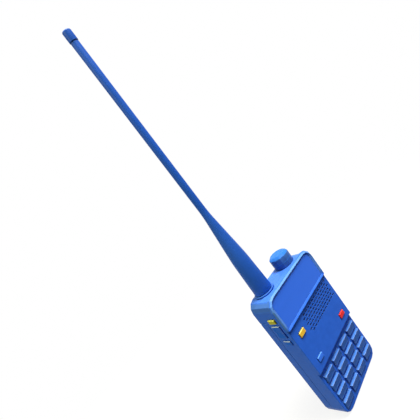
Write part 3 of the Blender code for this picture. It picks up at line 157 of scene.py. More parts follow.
class Graph:
    """Builder for the nodes of one tree."""

    def __init__(self, tree: bpy.types.NodeTree) -> None:
        """Start on a tree."""
        self.tree = tree

    @cached_property
    def place(self) -> Socket:
        """Object coordinates."""
        return self.add("ShaderNodeTexCoord").outputs["Object"]

    @cached_property
    def true_normal(self) -> Socket:
        """Normal of the mesh itself."""
        return self.add("ShaderNodeNewGeometry").outputs["True Normal"]

    def add(self, kind: str, inputs: dict | None = None, **settings: object) -> bpy.types.Node:
        """Add a node.

        Args:
            kind: Blender's name for the node type.
            inputs: values or sockets for the node's inputs, by name or number.
            settings: the node's own properties.

        Returns:
            The new node.
        """
        node = self.tree.nodes.new(kind)
        for key, value in settings.items():
            setattr(node, key, value)
        self.feed(node, inputs or {})
        return node

    def feed(self, node: bpy.types.Node, inputs: dict) -> None:
        """Link or set a node's inputs.

        Args:
            node: the node.
            inputs: values or sockets for its inputs, by name or number.
        """
        for key, value in inputs.items():
            if isinstance(value, Socket):
                self.tree.links.new(value, node.inputs[key])
            else:
                node.inputs[key].default_value = value

    def noise(self, size: float, detail: float, stretch: Triple = EVEN) -> Socket:
        """Cloudy pattern.

        Args:
            size: width of a cloud in metres.
            detail: octaves of finer clouds.
            stretch: scale of the pattern along the axes.

        Returns:
            The pattern's value, about 0.5 on the whole.
        """
        where = self.place
        if stretch != EVEN:
            where = self.add("ShaderNodeMapping", {"Vector": where, "Scale": stretch}).outputs[0]
        inputs = {"Vector": where, "Scale": 1.0 / size, "Detail": detail}
        return self.add("ShaderNodeTexNoise", inputs).outputs[0]

    def waves(self, pitch: float, along: str) -> Socket:
        """Even bands of a pitch in metres across one axis."""
        inputs = {"Vector": self.place, "Scale": math.tau / (WAVE_RATE * pitch)}
        return self.add("ShaderNodeTexWave", inputs, bands_direction=along).outputs["Fac"]

    def span(self, value: Socket, reach: Range, onto: Range = FULL) -> Socket:
        """Carry a range of values over to another.

        Args:
            value: what is carried over.
            reach: the values at the ends of the range.
            onto: what those ends become.

        Returns:
            The carried value, held within the new range.
        """
        return self.add("ShaderNodeMapRange", {
            "Value": value, "From Min": reach[0], "From Max": reach[1],
            "To Min": onto[0], "To Max": onto[1]}).outputs[0]

    def combine(self, operation: str, first: object, second: object) -> Socket:
        """Result of one of Blender's operations on two values."""
        return self.add("ShaderNodeMath", {0: first, 1: second}, operation=operation).outputs[0]

    def times(self, first: object, second: object) -> Socket:
        """Product of two values."""
        return self.combine("MULTIPLY", first, second)

    def plus(self, first: object, second: object) -> Socket:
        """Sum of two values."""
        return self.combine("ADD", first, second)

    def larger(self, first: object, second: object) -> Socket:
        """Larger of two values."""
        return self.combine("MAXIMUM", first, second)

    def blend(self, share: object, under: object, over: object, mode: str = "MIX") -> Socket:
        """Blend two colours.

        Args:
            share: how much of the colour on top shows.
            under: the colour underneath.
            over: the colour on top.
            mode: Blender's blend type.

        Returns:
            The blended colour.
        """
        inputs = {MIX_SHARE: share, MIX_UNDER: under, MIX_OVER: over}
        return self.add("ShaderNodeMix", inputs, data_type="RGBA", blend_type=mode).outputs[MIX_RESULT]

    def bump(self, height: Socket, depth: float, under: Socket | None = None) -> Socket:
        """Surface relief.

        Args:
            height: pattern of heights from 0 to 1.
            depth: height of the relief in metres.
            under: normal that the relief lies on.

        Returns:
            The bumped normal.
        """
        inputs = {"Height": height, "Distance": depth, "Strength": 1.0}
        if under is not None:
            inputs["Normal"] = under
        return self.add("ShaderNodeBump", inputs).outputs[0]

    def rounded_normal(self, radius: float) -> Socket:
        """Normal of the surface with its edges eased by a radius."""
        return self.add("ShaderNodeBevel", {"Radius": radius}, samples=NEARBY_RAYS).outputs[0]

    def edges(self, radius: float) -> Socket:
        """Mask of the edges.

        Args:
            radius: how far from an edge the mask reaches.

        Returns:
            1 where the eased normal turns well away from the true one, and 0 where it doesn't.
        """
        normals = {0: self.rounded_normal(radius), 1: self.true_normal}
        likeness = self.add("ShaderNodeVectorMath", normals, operation="DOT_PRODUCT")
        return self.span(likeness.outputs["Value"], EDGE_LIKENESS)

    def along(self, axis: str) -> Socket:
        """Object coordinate along one axis."""
        return self.add("ShaderNodeSeparateXYZ", {0: self.place}).outputs[axis]

    def within(self, low: Vector, high: Vector, fade: Vector) -> Socket:
        """Mask of a box.

        Args:
            low: the box's lower corner.
            high: its upper corner.
            fade: how far inside its faces the mask is full, along each axis.

        Returns:
            1 inside the box and 0 outside it.
        """
        mask = None
        for number, axis in enumerate("XYZ"):
            place = self.along(axis)
            for end, inward in ((low[number], fade[number]), (high[number], -fade[number])):
                side = self.span(place, (end, end + inward))
                mask = side if mask is None else self.times(mask, side)
        return mask

    def upward(self) -> Socket:
        """How far the surface looks up, from -1 to 1."""
        return self.add("ShaderNodeSeparateXYZ", {0: self.true_normal}).outputs["Z"]

    def openness(self, reach: float) -> Socket:
        """How open the surface lies, from 0 deep in a gap to 1 in the open."""
        return self.add("ShaderNodeAmbientOcclusion", {"Distance": reach}, samples=NEARBY_RAYS).outputs["AO"]


class Dressing(Graph):
    """Builder for the nodes of one material."""

    def __init__(self, name: str) -> None:
        """Start a material that holds its shader.

        Args:
            name: the material's name.
        """
        self.material = bpy.data.materials.new(name)
        self.material.use_nodes = True
        super().__init__(self.material.node_tree)
        self.shader = self.tree.nodes["Principled BSDF"]

    def finish(self, inputs: dict[str, object]) -> bpy.types.Material:
        """Feed the shader's inputs and hand over the material."""
        self.feed(self.shader, inputs)
        return self.material


@dataclass(frozen=True)
class MouldedPlastic:
    """Injection-moulded plastic with fine grain and clouds, rubbed edges, and painted light and shade.

    Rubbed edges are lighter partly as wear and partly as a painted edge highlight. Surfaces that
    look up between two slopes get a painted highlight. A proud box gets a further painted highlight
    where it doesn't look down, and keeps the rubbed edges to itself. Patches get a painted grey-teal
    sheen. Closed-in surfaces get painted shade. A recess has painted shade at its mouth and a painted
    fill light further in.
    """

    name: str
    colour: Colour
    shade: Colour
    # Colour of pale flecks, and of edges lightened partly as wear and partly as a painted edge highlight
    rub_and_glint: Colour
    roughness: float = 0.42
    smoothest: float = -0.04
    roughest: float = 0.06
    rough_tones: Range = (0.7, 1.3)
    specular: float = 0.35
    grain: float = 0.35 * MM
    grain_depth: float = 0.006 * MM
    grain_share: float = 0.02
    cloud: float = 7.0 * MM
    cloud_tones: Range = (0.36, 0.66)
    patchy_tones: Range = (0.35, 0.6)
    patchy: Range = (0.85, 1.0)
    edge: float = 0.12 * MM
    # Reach, share and openness of the rubbed edges, partly wear and partly a painted edge highlight
    rub_glint_reach: float = 0.2 * MM
    rub_glint_share: float = 0.35
    rub_glint_open: Range = (0.55, 0.9)
    # A proud box with a painted highlight where it doesn't look down; only it shows rubbed edges
    proud: Box | None = None
    bezel_highlight_share: float = 0.2
    bezel_highlight_up: Range = (-0.35, -0.05)
    # Painted highlight: surfaces that look up are painted lighter, from one slope to another
    top_highlight: Colour = srgb(150, 206, 245)
    top_highlight_share: float = 0.12
    top_highlight_from: float = 0.0
    top_highlight_fade: float = 0.5
    top_highlight_to: float = 2.0
    top_highlight_end: float = 0.05
    # Painted shade: closed-in surfaces, in corners, creases and gaps, are painted darker
    gap_shade: Colour = srgb(18, 30, 66)
    gap_shade_reach: float = 0.9 * MM
    gap_shade_share: float = 0.95
    gap_shade_open: Range = (0.3, 0.8)
    # Patches painted with a grey-teal sheen
    sheen_patches: tuple[Box, ...] = ()
    sheen_share: float = 0.45
    sheen_tone: Colour = srgb(76, 110, 140)
    # A recess: painted shade at its mouth and a painted fill light deeper in
    recess: Box | None = None
    slot_fill_light: Colour = srgb(116, 144, 220)
    slot_fill_start: float = 0.25 * MM
    slot_fill_end: float = 0.6 * MM

    def wear_and_painted_light(self, graph: Graph, colour: Socket, clouds: Socket, opened: Socket) -> Socket:
        """Lay painted highlights, partly painted rubbed edges and painted sheen over the plain colour.

        Args:
            graph: the material's nodes.
            colour: the plain colour.
            clouds: pattern that breaks the painted highlights and the rubbed edges up.
            opened: how open the surface lies.

        Returns:
            The colour with the painted light and the wear laid on.
        """
        patchy = graph.span(clouds, self.patchy_tones, self.patchy)
        # Edges lightened partly as wear and partly as a painted edge highlight
        rubbed_and_glinting = graph.times(graph.edges(self.rub_glint_reach), patchy)
        rubbed_and_glinting = graph.times(rubbed_and_glinting, graph.span(opened, self.rub_glint_open, (0.0, self.rub_glint_share)))
        # Painted highlight on surfaces that look up
        upward = graph.upward()
        top_lit = graph.span(upward, (self.top_highlight_from, self.top_highlight_from + self.top_highlight_fade), (0.0, self.top_highlight_share))
        ended = graph.span(upward, (self.top_highlight_to, self.top_highlight_to + self.top_highlight_end), (1.0, 0.0))
        top_lit = graph.times(top_lit, ended)
        if self.proud is not None:
            proud = graph.within(*self.proud)
            rubbed_and_glinting = graph.times(rubbed_and_glinting, proud)
            # Painted highlight on the proud box where it doesn't look down
            bezel_highlight = graph.times(proud, graph.span(upward, self.bezel_highlight_up, (0.0, self.bezel_highlight_share)))
            top_lit = graph.plus(top_lit, bezel_highlight)
        colour = graph.blend(graph.times(top_lit, patchy), colour, self.top_highlight)
        colour = graph.blend(rubbed_and_glinting, colour, self.rub_and_glint)
        # Patches painted with a grey-teal sheen
        for patch in self.sheen_patches:
            sheen_patches = graph.times(graph.within(*patch), self.sheen_share)
            colour = graph.blend(sheen_patches, colour, self.sheen_tone)
        return colour

    def material(self) -> bpy.types.Material:
        """Build the material.

        Returns:
            The finished material.
        """
        graph = Dressing(self.name)
        clouds = graph.noise(self.cloud, detail=4.0)
        fine = graph.noise(self.grain, detail=2.0)
        opened = graph.openness(self.gap_shade_reach)
        colour = graph.blend(graph.span(clouds, self.cloud_tones), self.shade, self.colour)
        colour = graph.blend(graph.span(fine, MID_NOISE, (0.0, self.grain_share)), colour, self.rub_and_glint)
        colour = self.wear_and_painted_light(graph, colour, clouds, opened)
        # Painted shade where the surface lies closed in
        colour = graph.blend(graph.span(opened, self.gap_shade_open, (self.gap_shade_share, 0.0)), colour, self.gap_shade)
        # Recess: painted shade at its mouth, painted fill light deeper in
        if self.recess is not None:
            front = self.recess[0].y
            deep = graph.span(graph.along("Y"), (front + self.slot_fill_start, front + self.slot_fill_end))
            colour = graph.blend(graph.within(*self.recess), colour, graph.blend(deep, self.gap_shade, self.slot_fill_light))
        rough = (self.roughness + self.smoothest, self.roughness + self.roughest)
        return graph.finish({
            "Base Color": colour, "Roughness": graph.span(graph.plus(clouds, fine), self.rough_tones, rough),
            "Normal": graph.bump(fine, self.grain_depth, graph.rounded_normal(self.edge)),
            "Specular IOR Level": self.specular})


@dataclass(frozen=True)
class ClearPane:
    """Tinted window with faint wipe marks and painted shade towards its edge, where the pocket closes it in.
    """

    name: str
    colour: Colour
    shade: Colour
    roughness: Range = (0.26, 0.36)
    specular: float = 0.12
    wipe: float = 9.0 * MM
    wipe_stretch: Triple = (0.35, 1.0, 1.6)
    speck: float = 0.4 * MM
    speck_depth: float = 0.002 * MM
    edge: float = 0.15 * MM
    # Painted shade near the edge, by how closed in the pane lies
    edge_shade_reach: float = 0.8 * MM
    edge_shade_open: Range = (0.4, 0.9)
    edge_shade_share: float = 0.3

    def material(self) -> bpy.types.Material:
        """Build the material.

        Returns:
            The finished material.
        """
        graph = Dressing(self.name)
        wipes = graph.noise(self.wipe, detail=2.0, stretch=self.wipe_stretch)
        specks = graph.noise(self.speck, detail=2.0)
        # Painted shade towards the edge, by how closed in the pane lies
        rim = graph.span(graph.openness(self.edge_shade_reach), self.edge_shade_open, (self.edge_shade_share, 0.0))
        colour = graph.blend(graph.span(wipes, WIDE_NOISE), self.shade, self.colour)
        return graph.finish({
            "Base Color": graph.blend(rim, colour, self.shade, "MULTIPLY"),
            "Roughness": graph.span(wipes, WIDE_NOISE, self.roughness),
            "Normal": graph.bump(specks, self.speck_depth, graph.rounded_normal(self.edge)),
            "Specular IOR Level": self.specular})


@dataclass(frozen=True)
class WovenCloth:
    """Fine speaker cloth: crossed threads with fuzz."""

    name: str
    colour: Colour
    shade: Colour
    roughness: Range = (0.85, 1.0)
    sheen: float = 0.15
    thread: float = 0.3 * MM
    thread_tones: Range = (0.1, 0.9)
    thread_depth: float = 0.08 * MM
    fuzz_share: float = 0.3

    def material(self) -> bpy.types.Material:
        """Build the material.

        Returns:
            The finished material.
        """
        graph = Dressing(self.name)
        weave = graph.times(graph.waves(self.thread, "X"), graph.waves(self.thread, "Z"))
        fuzz = graph.noise(self.thread / 2, detail=3.0)
        relief = graph.plus(weave, graph.times(fuzz, self.fuzz_share))
        return graph.finish({
            "Base Color": graph.blend(graph.span(relief, self.thread_tones), self.shade, self.colour),
            "Roughness": graph.span(fuzz, MID_NOISE, self.roughness),
            "Normal": graph.bump(relief, self.thread_depth),
            "Sheen Weight": self.sheen})


@dataclass(frozen=True)
class TurnedMetal:
    """Plated or turned metal with fine lathe lines and a little tarnish."""

    name: str
    colour: Colour
    tarnish: Colour
    roughness: Range = (0.22, 0.44)
    line: float = 0.25 * MM
    line_stretch: Triple = (0.2, 0.2, 1.0)
    line_depth: float = 0.01 * MM
    stain: float = 3.0 * MM
    stain_tones: Range = (0.45, 0.7)
    stain_share: float = 0.7
    edge: float = 0.12 * MM

    def material(self) -> bpy.types.Material:
        """Build the material.

        Returns:
            The finished material.
        """
        graph = Dressing(self.name)
        stains = graph.span(graph.noise(self.stain, detail=4.0), self.stain_tones, (0.0, self.stain_share))
        lines = graph.noise(self.line, detail=2.0, stretch=self.line_stretch)
        return graph.finish({
            "Base Color": graph.blend(stains, self.colour, self.tarnish),
            "Roughness": graph.span(lines, MID_NOISE, self.roughness),
            "Normal": graph.bump(lines, self.line_depth, graph.rounded_normal(self.edge)),
            "Metallic": 1.0})


@dataclass(frozen=True)
class PressedPaper:
    """Speaker cone paper with matted fibres."""

    name: str
    colour: Colour
    shade: Colour
    roughness: Range = (0.8, 0.95)
    fibre: float = 0.5 * MM
    fibre_stretch: Triple = (1.0, 1.0, 0.3)
    fibre_depth: float = 0.06 * MM

    def material(self) -> bpy.types.Material:
        """Build the material.

        Returns:
            The finished material.
        """
        graph = Dressing(self.name)
        fibres = graph.noise(self.fibre, detail=6.0, stretch=self.fibre_stretch)
        return graph.finish({
            "Base Color": graph.blend(graph.span(fibres, MID_NOISE), self.shade, self.colour),
            "Roughness": graph.span(fibres, MID_NOISE, self.roughness),
            "Normal": graph.bump(fibres, self.fibre_depth)})


@dataclass(frozen=True)
class CircuitBoard:
    """Solder mask over copper runs."""

    name: str
    colour: Colour
    copper: Colour
    roughness: Range = (0.3, 0.5)
    coat: float = 0.2
    run: float = 2.2 * MM
    run_width: float = 0.08
    run_depth: float = 0.03 * MM
    patch: float = 4.0 * MM
    patch_tones: Range = (0.4, 0.6)
    patch_share: float = 0.6

    def material(self) -> bpy.types.Material:
        """Build the material.

        Returns:
            The finished material.
        """
        graph = Dressing(self.name)
        runs = graph.add("ShaderNodeTexBrick", {
            "Vector": graph.place, "Scale": 1.0 / self.run, "Mortar Size": self.run_width,
            "Color1": self.colour, "Color2": self.colour, "Mortar": self.copper}).outputs
        patches = graph.noise(self.patch, detail=3.0)
        covered = graph.span(patches, self.patch_tones, (0.0, self.patch_share))
        return graph.finish({
            "Base Color": graph.blend(covered, runs["Color"], self.colour),
            "Roughness": graph.span(patches, MID_NOISE, self.roughness),
            "Normal": graph.bump(runs["Fac"], self.run_depth),
            "Coat Weight": self.coat})


Finish = MouldedPlastic | ClearPane | WovenCloth | TurnedMetal | PressedPaper | CircuitBoard

# Every finish on the handset
FINISHES: tuple[Finish, ...] = (
    # Body: painted shade in gaps and slots, painted highlights on tops and bezel, painted sheen patches
    MouldedPlastic("body_blue", srgb(45, 106, 225), srgb(41, 101, 218), srgb(136, 200, 255), roughness=0.34,
                   specular=0.07, cloud=4.0 * MM, top_highlight_share=0.14, top_highlight_from=0.3, gap_shade=srgb(26, 46, 102),
                   gap_shade_share=0.85, sheen_patches=SHEEN_PATCHES, proud=BEZEL, bezel_highlight_share=0.33, recess=GRILLE_SLOTS),
    # Keys: painted whitish highlight on upper bevels and ridges, painted shade between them
    MouldedPlastic("key_blue", srgb(32, 100, 198), srgb(28, 94, 189), srgb(196, 208, 236), roughness=0.28,
                   specular=0.06, grain_depth=0.003 * MM, rub_glint_reach=0.25 * MM, rub_glint_share=0.7,
                   top_highlight=srgb(150, 204, 255), top_highlight_share=0.17, gap_shade_share=0.7, gap_shade_reach=1.1 * MM),
    # Side buttons: painted white highlight on their upper bevels, and a painted edge highlight
    MouldedPlastic("side_blue", srgb(24, 105, 224), srgb(20, 98, 214), srgb(196, 190, 186), roughness=0.4,
                   specular=0.05, grain_depth=0.003 * MM, rub_glint_reach=0.35 * MM, rub_glint_share=0.55,
                   top_highlight=srgb(222, 242, 255), top_highlight_share=1.0, top_highlight_from=0.3, top_highlight_to=0.94, gap_shade_share=0.2,
                   gap_shade_reach=0.8 * MM),
    # Knob: its top gets a painted highlight over a darker base, and painted shade towards the housing
    MouldedPlastic("knob_blue", srgb(64, 108, 178), srgb(58, 101, 169), srgb(104, 162, 250), roughness=0.34,
                   specular=0.05, gap_shade_reach=9.0 * MM, gap_shade_share=0.3, top_highlight=srgb(50, 120, 212), top_highlight_share=1.0,
                   top_highlight_from=0.05),
    # Whip: painted shade at its foot, where it stands on the housing
    MouldedPlastic("antenna_blue", srgb(31, 91, 194), srgb(27, 87, 187), srgb(74, 140, 240), roughness=0.48,
                   specular=0.2, grain=0.5 * MM, grain_depth=0.002 * MM, rub_glint_reach=0.06 * MM,
                   gap_shade_reach=8.0 * MM, gap_shade_share=0.3),
    # Coloured buttons: pale painted highlight on their upper bevels
    MouldedPlastic("yellow", srgb(255, 206, 60), srgb(244, 190, 46), srgb(255, 232, 130), roughness=0.34,
                   specular=0.2, top_highlight=srgb(255, 248, 150), top_highlight_share=0.7),
    MouldedPlastic("lime", srgb(190, 188, 52), srgb(178, 175, 40), srgb(250, 206, 80), roughness=0.34,
                   specular=0.1, top_highlight=srgb(255, 255, 130), top_highlight_share=0.85, top_highlight_from=0.4),
    MouldedPlastic("red", srgb(250, 46, 44), srgb(238, 38, 38), srgb(255, 120, 100), roughness=0.34,
                   specular=0.18, top_highlight=srgb(255, 170, 160)),
    MouldedPlastic("light_blue", srgb(50, 126, 255), srgb(42, 116, 248), srgb(130, 190, 255), roughness=0.3,
                   specular=0.2, top_highlight=srgb(150, 214, 255), top_highlight_share=0.35),
    MouldedPlastic("black_plastic", srgb(40, 42, 50), srgb(28, 29, 34), srgb(90, 92, 100), roughness=0.5),
    MouldedPlastic("membrane_rubber", srgb(92, 94, 100), srgb(74, 76, 82), srgb(120, 122, 128),
                   roughness=0.75, specular=0.2),
    ClearPane("pane_blue", srgb(58, 120, 250), srgb(56, 118, 247)),
    ClearPane("display_glass", srgb(128, 142, 136), srgb(108, 122, 118)),
    WovenCloth("speaker_cloth", srgb(58, 72, 140), srgb(34, 44, 96)),
    PressedPaper("paper_cone", srgb(62, 58, 54), srgb(36, 34, 32)),
    CircuitBoard("circuit_board", srgb(24, 96, 60), srgb(60, 132, 84)),
    TurnedMetal("steel", srgb(190, 192, 196), srgb(140, 138, 134)),
    TurnedMetal("brass", srgb(212, 176, 100), srgb(150, 112, 60)),
    TurnedMetal("cell_can", srgb(176, 180, 188), srgb(140, 146, 156), roughness=(0.32, 0.54)))


class Finishes:
    """The finishes by name, each made into one material when it is first asked for."""

    def __init__(self) -> None:
        """Sort the finishes by name."""
        self.recipes = {finish.name: finish for finish in FINISHES}
        self.made: dict[str, bpy.types.Material] = {}

    def get(self, name: str) -> bpy.types.Material:
        """Give a finish's material.

        Args:
            name: the finish.

        Returns:
            Its material, the same one each time.
        """
        if name not in self.made:
            self.made[name] = self.recipes[name].material()
        return self.made[name]


def rounded_box(left: float, right: float, low: float, high: float, radius: float, steps: int = 3,
                upper: float | None = None, runs: int = 1) -> Outline:
    """Draw a rectangle with round corners.

    Args:
        left: lowest place across.
        right: highest place across.
        low: lowest place upward.
        high: highest place upward.
        radius: corner radius.
        steps: straight runs in each corner.
        upper: radius of the upper corners, where it differs.
        runs: straight runs along each upright side.

    Returns:
        The outline's points, anticlockwise from the lower right corner.
    """
    above = radius if upper is None else upper
    foot = low + radius
    head = high - above
    corners = ((right - radius, foot, radius, -90, right, head - foot),
               (right - above, head, above, 0, right, 0.0),
               (left + above, head, above, 90, left, foot - head),
               (left + radius, foot, radius, 180, left, 0.0))
    points = []
    for across, up, reach, start, side, climb in corners:
        points += arc((across, up), reach, start, start + 90, steps)
        if climb:
            points.extend((side, up + climb * run / runs) for run in range(1, runs))
    return points


def arc(middle: tuple[float, float], radius: float, start: float, end: float, steps: int) -> Outline:
    """Draw points on an arc.

    Args:
        middle: centre of the arc.
        radius: its radius.
        start: first angle in degrees.
        end: last angle in degrees.
        steps: straight runs along it.

    Returns:
        The points from the first angle to the last.
    """
    angles = [math.radians(start + (end - start) * step / steps) for step in range(steps + 1)]
    return [(middle[0] + radius * math.cos(a), middle[1] + radius * math.sin(a)) for a in angles]


def level(outline: Outline, out: float) -> Ring:
    """Lay an outline flat at one height out."""
    return [(across, up, out) for across, up in outline]


def skin(mesh: bmesh.types.BMesh, low: list[bmesh.types.BMVert], high: list[bmesh.types.BMVert]) -> None:
    """Join two rings of equal length with a band of faces.

    Args:
        mesh: the mesh that holds them.
        low: the ring behind or below.
        high: the ring in front or above.
    """
    for index, start in enumerate(low):
        after = (index + 1) % len(low)
        mesh.faces.new((start, low[after], high[after], high[index]))


def loft(sections: Sequence[Ring]) -> bmesh.types.BMesh:
    """Skin rings of equal length into a closed mesh.

    Args:
        sections: the rings from the back to the front.

    Returns:
        The closed mesh, with a ladder of faces across its front.
    """
    mesh = bmesh.new()
    rings = [[mesh.verts.new(point) for point in section] for section in sections]
    for low, high in zip(rings, rings[1:]):
        skin(mesh, low, high)
    mesh.faces.new(list(reversed(rings[0])))
    front = rings[-1]
    for start in range(len(front) // 2 - 1):
        mesh.faces.new((front[start], front[start + 1], front[-start - 2], front[-start - 1]))
    return mesh


def turned(profile: Outline, sides: int, closed: bool) -> bmesh.types.BMesh:
    """Turn a profile about the height axis.

    Args:
        profile: (radius, height) points that run up the outside.
        sides: straight runs around the axis.
        closed: whether the profile's ends meet, as on a ring.

    Returns:
        The closed mesh, with a flat cap at each end of an open profile.
    """
    mesh = bmesh.new()
    angles = [math.tau * step / sides for step in range(sides)]
    rings = []
    for radius, height in profile:
        rings.append([mesh.verts.new((radius * math.cos(a), radius * math.sin(a), height)) for a in angles])
    for low, high in zip(rings, rings[1:]):
        skin(mesh, low, high)
    if closed:
        skin(mesh, rings[-1], rings[0])
    else:
        mesh.faces.new(list(reversed(rings[0])))
        mesh.faces.new(rings[-1])
    return mesh


def footing(node: str) -> tuple[Matrix, float, float]:
    """Read where a round upright solid stands.

    Args:
        node: the solid.

    Returns:
        The middle of its foot, its radius and its height.
    """
    low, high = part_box(node)
    middle = (low + high) / 2
    return Matrix.Translation((middle.x, middle.y, low.z)), (high.x - low.x) / 2, high.z - low.z


def link(name: str, data: bpy.types.ID) -> bpy.types.Object:
    """Put an object into the scene.

    Args:
        name: its name.
        data: its mesh, lamp or camera.

    Returns:
        The new object.
    """
    thing = bpy.data.objects.new(name, data)
    bpy.context.scene.collection.objects.link(thing)
    return thing


def make_piece(name: str, mesh: bmesh.types.BMesh, place: Matrix, finish: bpy.types.Material,
               crisp: float = CRISP_ANGLE) -> bpy.types.Object:
    """Turn a mesh into a piece with its finish.

    Args:
        name: the piece's name.
        mesh: its closed mesh.
        place: where it goes.
        finish: its material.
        crisp: edges sharper than this, in degrees, stay crisp.

    Returns:
        The new object, linked to the scene.
    """
    bmesh.ops.transform(mesh, matrix=place, verts=mesh.verts)
    bmesh.ops.recalc_face_normals(mesh, faces=mesh.faces)
    data = bpy.data.meshes.new(name)
    mesh.to_mesh(data)
    mesh.free()
    data.shade_smooth()
    data.set_sharp_from_angle(angle=math.radians(crisp))
    data.materials.append(finish)
    return link(name, data)


def seat(piece: bpy.types.Object, body: str, node: str, slot: str) -> bpy.types.Object:
    """Let a piece stand for its solid.

    Args:
        piece: the piece.
        body: the body that it rides on.
        node: the solid that it replaces.
        slot: its material slot; not used.

    Returns:
        The piece.
    """
    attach(piece, body)
    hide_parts(node)
    return piece


@dataclass
class Plunger:
    """A key or button: a flange behind the wall, a skirt through the hole and a bevelled head outside.

    The head's wall rises from its shoulder to the rim of its face. It draws in from the shares of its height
    that side_start and top_start give. A dished face is deepest at the share of its length that lowest gives,
    and rises over the width of its bank towards each side.
    """

    node: str
    facing: Facing
    stand: float
    wall: float
    bevel: float
    bevel_above: float
    face: Face
    corner: float = 0.25 * MM
    corner_fade: float = 3.0
    least_corner: float = 0.08 * MM
    shoulder: float = 0.1 * MM
    flange: float = 0.8 * MM
    lip: float = 0.8 * MM
    side_lip: float = 0.15 * MM
    clearance: float = 0.3 * MM
    stem: float = 1.0 * MM
    stem_corner: float = 0.1 * MM
    foot: float = 0.1 * MM
    foot_depth: float = 0.2 * MM
    rim: float = 0.12 * MM
    core: float = 0.2 * MM
    depth: float = 0.3 * MM
    lowest: float = 0.95
    bank: float = 0.7 * MM
    tilt: float = 0.0
    ledge: float = 0.0
    side_start: float = 0.75
    top_start: float = 0.75
    bevel_steps: int = 8
    face_steps: int = 10
    runs: int = 10

    @cached_property
    def bounds(self) -> tuple[Vector, Vector]:
        """Lowest and highest corner of the solid."""
        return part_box(self.node)

    @cached_property
    def extent(self) -> Vector:
        """Size of the solid across, upward and outward."""
        size = self.bounds[1] - self.bounds[0]
        return size.xzy if self.facing is Facing.FRONT else size.yzx

    @cached_property
    def size(self) -> tuple[float, float]:
        """Width and height of the head."""
        return self.extent[0] - 2 * self.side_lip, self.extent[1] - 2 * self.lip

    def middle(self) -> Vector:
        """Find the middle of the head, on the surface that it stands out of.

        Returns:
            The place.
        """
        low, high = self.bounds
        middle = (low + high) / 2
        outward = 1 if self.facing is Facing.FRONT else 0
        middle[outward] = low[outward] + self.stand
        return middle

    def ring(self, insets: Triple, out: float, corner: float | None = None) -> Ring:
        """Draw one section of the plunger.

        Args:
            insets: how far it is drawn in at the sides, below and above.
            out: how far out it lies.
            corner: corner radius, where it isn't the plunger's own.

        Returns:
            The section's points.
        """
        side, below, above = insets
        width, height = self.size
        outline = rounded_box(-width / 2 + side, width / 2 - side, -height / 2 + below, height / 2 - above,
                              self.corner if corner is None else corner, runs=self.runs)
        return level(outline, out)

    def insets(self, share: float) -> Triple:
        """Draw the head's wall in.

        Args:
            share: 0 at the wall's foot and 1 at the rim of the face.

        Returns:
            The insets at the sides, below and above.
        """
        around = self.bevel * max(share - self.side_start, 0.0) / (1 - self.side_start)
        top = max(share - self.top_start, 0.0) / (1 - self.top_start)
        return around, around, self.ledge + (self.bevel_above - self.ledge) * top

    def sink(self, across: float, up: float) -> float:
        """Work out the depth of the dish.

        Args:
            across: place across the face.
            up: place up the face.

        Returns:
            How far the face lies behind its rim there.
        """
        if self.face is Face.CROWNED:
            return 0.0
        width, height = self.size
        side, below, above = self.insets(1.0)
        top = height / 2 - above - self.rim
        bottom = self.rim + below - height / 2
        share = (top - up) / (top - bottom)
        fall = min(share / self.lowest, (1 - share) / (1 - self.lowest))
        room = (width / 2 - side - self.rim - abs(across)) / self.bank
        return self.depth * max(min(fall, 1.0), 0.0) * max(min(room, 1.0), 0.0)

    def stem_rings(self, back: float) -> list[Ring]:
        """Draw the stem.

        Args:
            back: how far out the back of the flange lies.

        Returns:
            Its two sections, or none where the solid ends at the flange.
        """
        stem_end = self.stand - self.extent[2]
        if stem_end >= back - self.clearance:
            return []
        width, height = self.size
        up = height / 2 - self.stem
        insets = (width / 2 - self.stem, up, up)
        return [self.ring(insets, out, self.stem_corner) for out in (stem_end, back)]

    def face_rings(self) -> list[Ring]:
        """Draw the outer face, inside its bevel.

        Returns:
            Its sections, from the rim to the middle.
        """
        side, below, above = self.insets(1.0)
        width, height = self.size
        reach = min(width - 2 * side, height - below - above) / 2 - self.rim - self.core
        rings = []
        for step in range(self.face_steps + 1):
            inset = self.rim + reach * step / self.face_steps
            corner = max(self.corner - inset / self.corner_fade, self.least_corner)
            flat = self.ring((side + inset, below + inset, above + inset), self.stand, corner)
            rings.append([(across, up, out - self.sink(across, up)) for across, up, out in flat])
        return rings

    def tilted(self, ring: Ring) -> Ring:
        """Let a ring of the head sink towards its lower end."""
        height = self.size[1]
        return [(across, up, out * (1 - self.tilt * (0.5 - up / height))) for across, up, out in ring]

    def sections(self) -> list[Ring]:
        """Draw every section of the plunger.

        Returns:
            The sections from the back of the flange or stem to the middle of the face.
        """
        front = -self.wall - self.clearance
        back = front - self.flange
        lip = (-self.side_lip, -self.lip, -self.lip)
        foot = (-self.foot, -self.foot, -self.foot)
        rings = self.stem_rings(back)
        rings += [self.ring(lip, back), self.ring(lip, front), self.ring((0.0, 0.0, 0.0), front),
                  self.ring(foot, -self.clearance), self.ring(foot, -self.foot_depth)]
        rise = self.stand - self.shoulder
        shares = [step / self.bevel_steps for step in range(self.bevel_steps + 1)]
        head = [self.ring(self.insets(share), self.shoulder + rise * share) for share in shares]
        return rings + [self.tilted(ring) for ring in head + self.face_rings()]

    def build(self, finish: bpy.types.Material, slot: str) -> bpy.types.Object:
        """Make the piece and seat it.

        Args:
            finish: its material.
            slot: its material slot.

        Returns:
            The piece, riding on its own body in place of its solid.
        """
        turn = FRONT_TURN if self.facing is Facing.FRONT else LEFT_TURN
        place = Matrix.Translation(self.middle()) @ turn
        piece = make_piece(f"{self.node}_cap", loft(self.sections()), place, finish)
        return seat(piece, self.node, self.node, slot)


